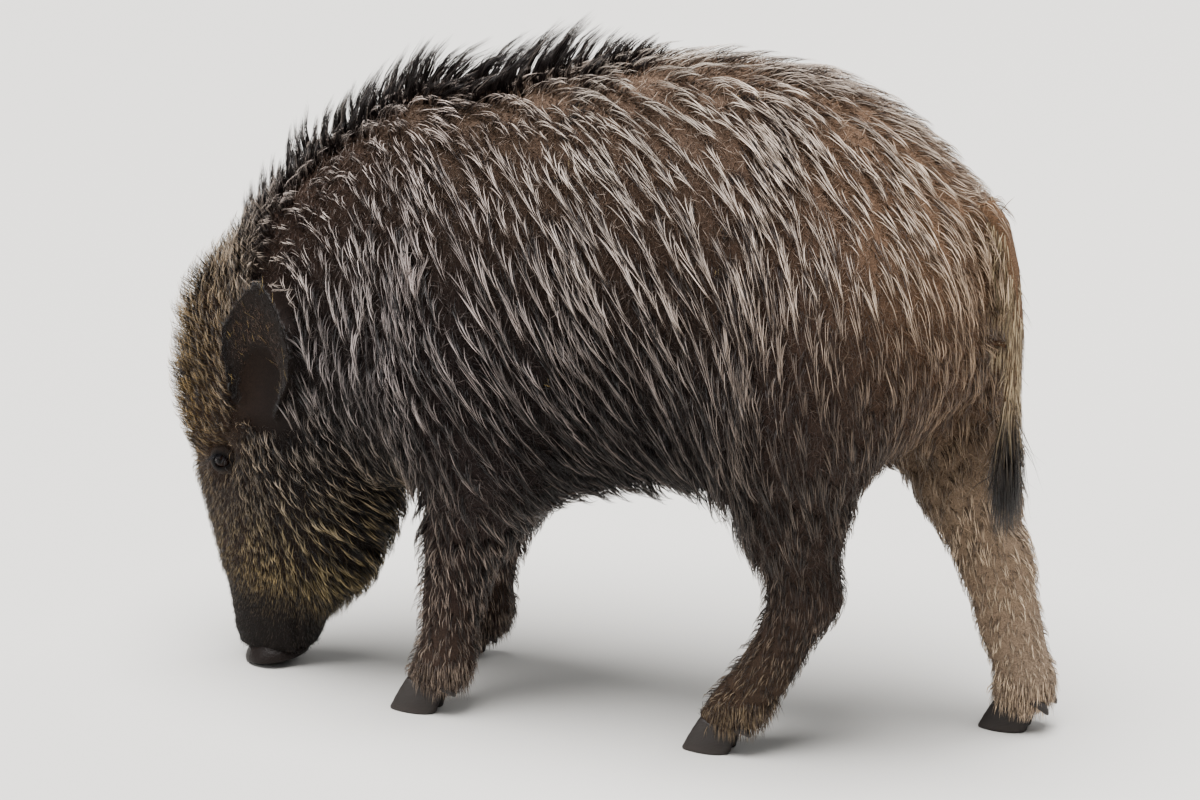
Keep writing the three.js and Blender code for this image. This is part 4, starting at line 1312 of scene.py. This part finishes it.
class BOAR_OT_head_coat(bpy.types.Operator):
    """Tufts of the face, cheeks and jowls, and the hair in and round the ears"""

    bl_idname = "boar.head_coat"
    bl_label = "Head coat"

    def execute(self, context):
        along, up, _ = on_head(the_hide().centres)
        head = chosen_tris(HEAD)
        cheeks = head & (along < 0.33) & (up < 0.0)
        face = head & (along < 0.325) & (up >= -0.03)
        gap, short = millimetres(context.scene.boar_coat.face), (0, 0.5, 1)
        locks("coat_cheeks", cheeks, gap * 2.9, 14, 31, round_head, 1.05, short, 1.8)
        locks("coat_face", face, gap * 1.6, 4, 32, round_head, 0.8, short)
        locks("coat_snout", head & (along > 0.3), gap * 0.9, 2, 34, round_head, 0.8, (0, 1))
        undercoat("undercoat_head", head, gap * 0.85, 33, round_head, 0.8, 12)
        self.ears(gap * 0.5 * MM)
        return {"FINISHED"}

    def ears(self, spacing):
        """Hair runs up each ear to its tip. It is short and dark on the back and the rim, and
        longer and yellow in the cup, where it stands across the opening."""
        rng, rings = np.random.default_rng(35), (0, 1)
        roots, normals = the_hide().roots(rng, spacing, chosen_tris(("ear",)))
        count, side = len(roots), np.sign(roots[:, 1:2])
        mirror = np.concatenate((side * 0 + 1, side, side * 0 + 1), 1)
        axis = unit(np.array((0.14, 0.24, 1.0)) * mirror)
        cup = smooth(dot(normals, unit(np.array((-0.2, 0.96, 0.0)) * mirror))[:, 0], 0.1, 0.5)
        ways = unit(axis + (0.2 + 0.4 * cup)[:, None] * normals + rng.normal(0, 0.3, (count, 3)))
        yellow = rng.random(count) < 0.03 * cup
        long = (10 + 5 * cup + 14 * yellow) * rng.uniform(0.6, 1.1, count) * MM
        path = stiff_hair(roots - normals * MM, ways, -0.4 * normals, long, rings)
        thick = 0.85 * MM * rng.uniform(0.7, 1.1, count) * (1 - 0.35 * yellow)
        pale = (yellow * rng.uniform(0.5, 1, count))[:, None]
        centre = (middle("ear_left") + middle("ear_right")) / 2
        rel = np.abs(roots - centre) / (0.051, 1, 0.088)
        inner = cup * (1 - smooth(np.hypot(rel[:, 0], rel[:, 2]), 0.45, 0.9))
        body = mix(linear("0e0a09"), linear("493628"), inner[:, None])
        body = mix(body, linear("a38a52"), pale) * rng.uniform(0.35, 1.8, (count, 1))
        tones, wrap = (body * 0.7, body, body * 1.2), round_head(roots)
        hairs("coat_ears", "ear", path, unit(normals + 0.01), thick, rings, tones, wrap)


class BOAR_OT_leg_coat(bpy.types.Operator):
    """Short fur of the legs and feet"""

    bl_idname = "boar.leg_coat"
    bl_label = "Leg coat"

    def execute(self, context):
        gap, short = millimetres(context.scene.boar_coat.leg) * 1.8, (0, 0.5, 1)
        for part, seed in (("fore", 41), ("hind", 42)):
            chosen = chosen_tris((f"{part}leg", f"{part}foot"))
            locks(f"coat_{part}legs", chosen, gap, 9, seed, round_legs, 1.05, short, 1.7)
        self.feet(short)
        return {"FINISHED"}

    def feet(self, rings):
        """Hair that hangs over the top of the hooves: it leaves the lowest of the skin, down and a
        little outwards."""
        hide, rng = the_hide(), np.random.default_rng(43)
        chosen = chosen_tris(("forefoot", "hindfoot")) & (hide.centres[:, 2] < 0.075)
        chosen &= hide.normals[hide.tris[:, 0], 2] > -0.6
        roots, normals = hide.roots(rng, 2.6 * MM, chosen)
        fur = fur_at(roots)
        count = len(roots)
        outward = unit(normals * (1, 1, 0.01))
        ways = unit(DOWN + 0.4 * outward + rng.normal(0, 0.13, (count, 3)))
        long = np.minimum(rng.uniform(15, 27, count) * MM, roots[:, 2] - 13 * MM)
        long = np.maximum(long, 5 * MM)
        path = stiff_hair(roots - normals * MM, ways, -0.2 * outward, long, rings)
        thick = 1.1 * MM * rng.uniform(0.7, 1.15, count)
        # The pale colour is partly pale tips and partly painted highlight from overhead.
        body = mix(fur.under * 0.8, fur.pale, some(rng, count, 0.5, 0.3, 1))
        body = body * rng.uniform(0.6, 1.2, (count, 1))
        tones, wrap = (fur.dark, body, body), round_legs(roots)
        hairs("coat_feet", "coat", path, unit(outward + 0.01), thick, rings, tones, wrap)


class BOAR_OT_mane(bpy.types.Operator):
    """The standing mane along neck and withers"""

    bl_idname = "boar.mane"
    bl_label = "Mane"
    BAND = 28 * MM  # from the ridge to the mane's edge

    def execute(self, context):
        """Bristles rise from a band along the ridge up to the crest's line and bend backwards.
        They stand in clumps, and those of a clump draw together to one point."""
        rng, rings = np.random.default_rng(51), (0, 0.35, 0.7, 1)
        roots, normals = self.clumps(rng)
        count = len(roots)
        long = self.rise(roots) * rng.uniform(0.85, 1.1, count)
        long = long * (1 - 0.4 * (roots[:, 1] / self.BAND) ** 2)
        flow = unit(np.cross(np.array((0, 1.0, 0)), normals))
        flow *= np.sign(flow[:, :1] + 0.2 * flow[:, 2:])
        fan = roots * (0, 6.0, 0)
        ways = unit(normals + 0.1 * flow + fan + rng.normal(0, 0.06, (count, 3)))
        bends = flow * rng.uniform(0.5, 0.75, (count, 1)) - normals * 0.22
        pick = np.repeat(np.arange(count), 22)
        many = len(pick)
        length = long[pick] * rng.uniform(0.8, 1.0, many)
        bends = bends[pick] + flow[pick] * rng.normal(0, 0.05, (many, 1))
        spread = rng.normal(0, 2.6 * MM, (many, 3))
        path = stiff_hair((roots - normals * 3 * MM)[pick], ways[pick], bends, length, rings)
        path = path + spread[:, None] * (1 - 0.94 * np.asarray(rings)[None, :, None])
        ups = unit(rng.normal(0, 1, (many, 3)))
        thick = 1.3 * MM * rng.uniform(0.7, 1.2, many)
        # A tenth of the bristles are pale grey: a painted highlight, the silvery sheen on the black
        # mane.
        body = mix(linear("171110"), linear("8d8179"), some(rng, many, 0.1, 0.3, 0.9))
        body = body * rng.uniform(0.75, 1.3, (many, 1))
        tones = (np.tile(linear("110c0a"), (many, 1)), body, body * 1.2)
        wrap = np.stack((path[:, 0, 0] - path[:, 0, 2] * 0.4, path[:, 0, 1]), -1)
        hairs("mane_bristles", "mane", path, ups, thick, rings, tones, wrap, ("mane",))
        return {"FINISHED"}

    def clumps(self, rng):
        """Where the clumps root: along the ridge, 9.8 mm apart, and where it faces up."""
        hide = the_hide()
        x, y, z = hide.centres.T
        chosen = chosen_tris(("head", "neck", "forequarters", "barrel"))
        chosen &= (np.abs(y) < self.BAND) & (z > 0.36) & (x < 0.06)
        chosen &= hide.normals[hide.tris[:, 0], 1] ** 2 < 0.5
        roots, normals = hide.roots(rng, 5.5 * MM, chosen)
        kept = spaced(rng, roots, unit(normals), 9.8 * MM, 1.01)
        return roots[kept], normals[kept]

    def rise(self, roots):
        """How far the crest's line is from each root, and a little more on the neck."""
        crest = np.array(CREST) * MM
        dense, given = np.linspace(0, 1, 200), np.linspace(0, 1, len(crest))
        line = np.stack([np.interp(dense, given, column) for column in crest.T], -1)
        reach = np.linalg.norm(roots[:, None, (0, 2)] - line[None], axis=2).min(1)
        neck = 16 * MM * smooth(-roots[:, 0], 0.1, 0.22) * smooth(roots[:, 2], 0.5, 0.6)
        return reach * 1.12 + 6 * MM + neck


class BOAR_OT_tail_coat(bpy.types.Operator):
    """Hair of the tail, with the dark tuft at its end"""

    bl_idname = "boar.tail_coat"
    bl_label = "Tail"

    def execute(self, context):
        """Pale hairs hang down the tail, close to it. Over its last third they grow longer and
        black and make a tuft, and a few stray ones stand out."""
        rng, rings = np.random.default_rng(61), (0, 0.5, 1)
        roots, normals = the_hide().roots(rng, 2.3 * MM, chosen_tris(("tail",)))
        count = len(roots)
        tuft = 1 - smooth(roots[:, 2:] + rng.normal(0, 0.008, (count, 1)), 0.40, 0.465)
        stray = (rng.random((count, 1)) < 0.04) * rng.normal(0, 0.45, (count, 3))
        lean = (0.16 + 0.1 * tuft) * normals
        ways = unit(DOWN + lean + rng.normal(0, 0.07, (count, 3)) + stray)
        long = (30 + 48 * tuft[:, 0]) * rng.uniform(0.7, 1.15, count) * MM
        path = stiff_hair(roots - normals * MM, ways, -0.12 * normals + 0.15 * DOWN, long, rings)
        path[..., 2] = np.maximum(path[..., 2], 0.262)
        thick = 1.2 * MM * rng.uniform(0.7, 1.15, count)
        body = mix(linear("5f4e3b"), linear("d3bd99"), some(rng, count, 0.55, 0.4, 1))
        body = mix(body, linear("15100e"), tuft) * rng.uniform(0.7, 1.3, (count, 1))
        tones, wrap = (body * 0.55, body, body * 1.1), round_body(roots)
        hairs("coat_tail", "coat", path, unit(normals + 0.01), thick, rings, tones, wrap)
        return {"FINISHED"}


class BOAR_PT_panel(bpy.types.Panel):
    """Lists the pieces of the boar"""

    bl_idname = "BOAR_PT_panel"
    bl_label = "Wild Boar"
    bl_space_type = "VIEW_3D"
    bl_region_type = "UI"
    bl_category = "Wild Boar"

    def draw(self, context):
        for operator in OPERATORS:
            self.layout.operator(operator.bl_idname)
        for name in SETTINGS:
            box = self.layout.box()
            group = getattr(context.scene, name)
            for key in group.__annotations__:
                box.prop(group, key)


SETTINGS = {
    "boar_stage": StageSettings,
    "boar_skin": SkinSettings,
    "boar_coat": CoatSettings,
    "boar_pieces": PieceSettings,
}
OPERATORS = (
    BOAR_OT_stage,
    BOAR_OT_skin,
    BOAR_OT_eyes,
    BOAR_OT_snout,
    BOAR_OT_hooves,
    BOAR_OT_body_coat,
    BOAR_OT_head_coat,
    BOAR_OT_leg_coat,
    BOAR_OT_mane,
    BOAR_OT_tail_coat,
)


def register():
    """Registers the classes and puts their settings on the scene."""
    for cls in (*SETTINGS.values(), *OPERATORS, BOAR_PT_panel):
        bpy.utils.register_class(cls)
    for name, cls in SETTINGS.items():
        setattr(bpy.types.Scene, name, PointerProperty(type=cls))


def unregister():
    """Takes the settings off the scene and the classes out."""
    for name in SETTINGS:
        delattr(bpy.types.Scene, name)
    for cls in reversed((*SETTINGS.values(), *OPERATORS, BOAR_PT_panel)):
        bpy.utils.unregister_class(cls)


def main():
    """Registers the classes and makes every piece in order."""
    register()
    for operator in OPERATORS:
        group, name = operator.bl_idname.split(".")
        getattr(getattr(bpy.ops, group), name)()


if __name__ == "__main__":
    main()
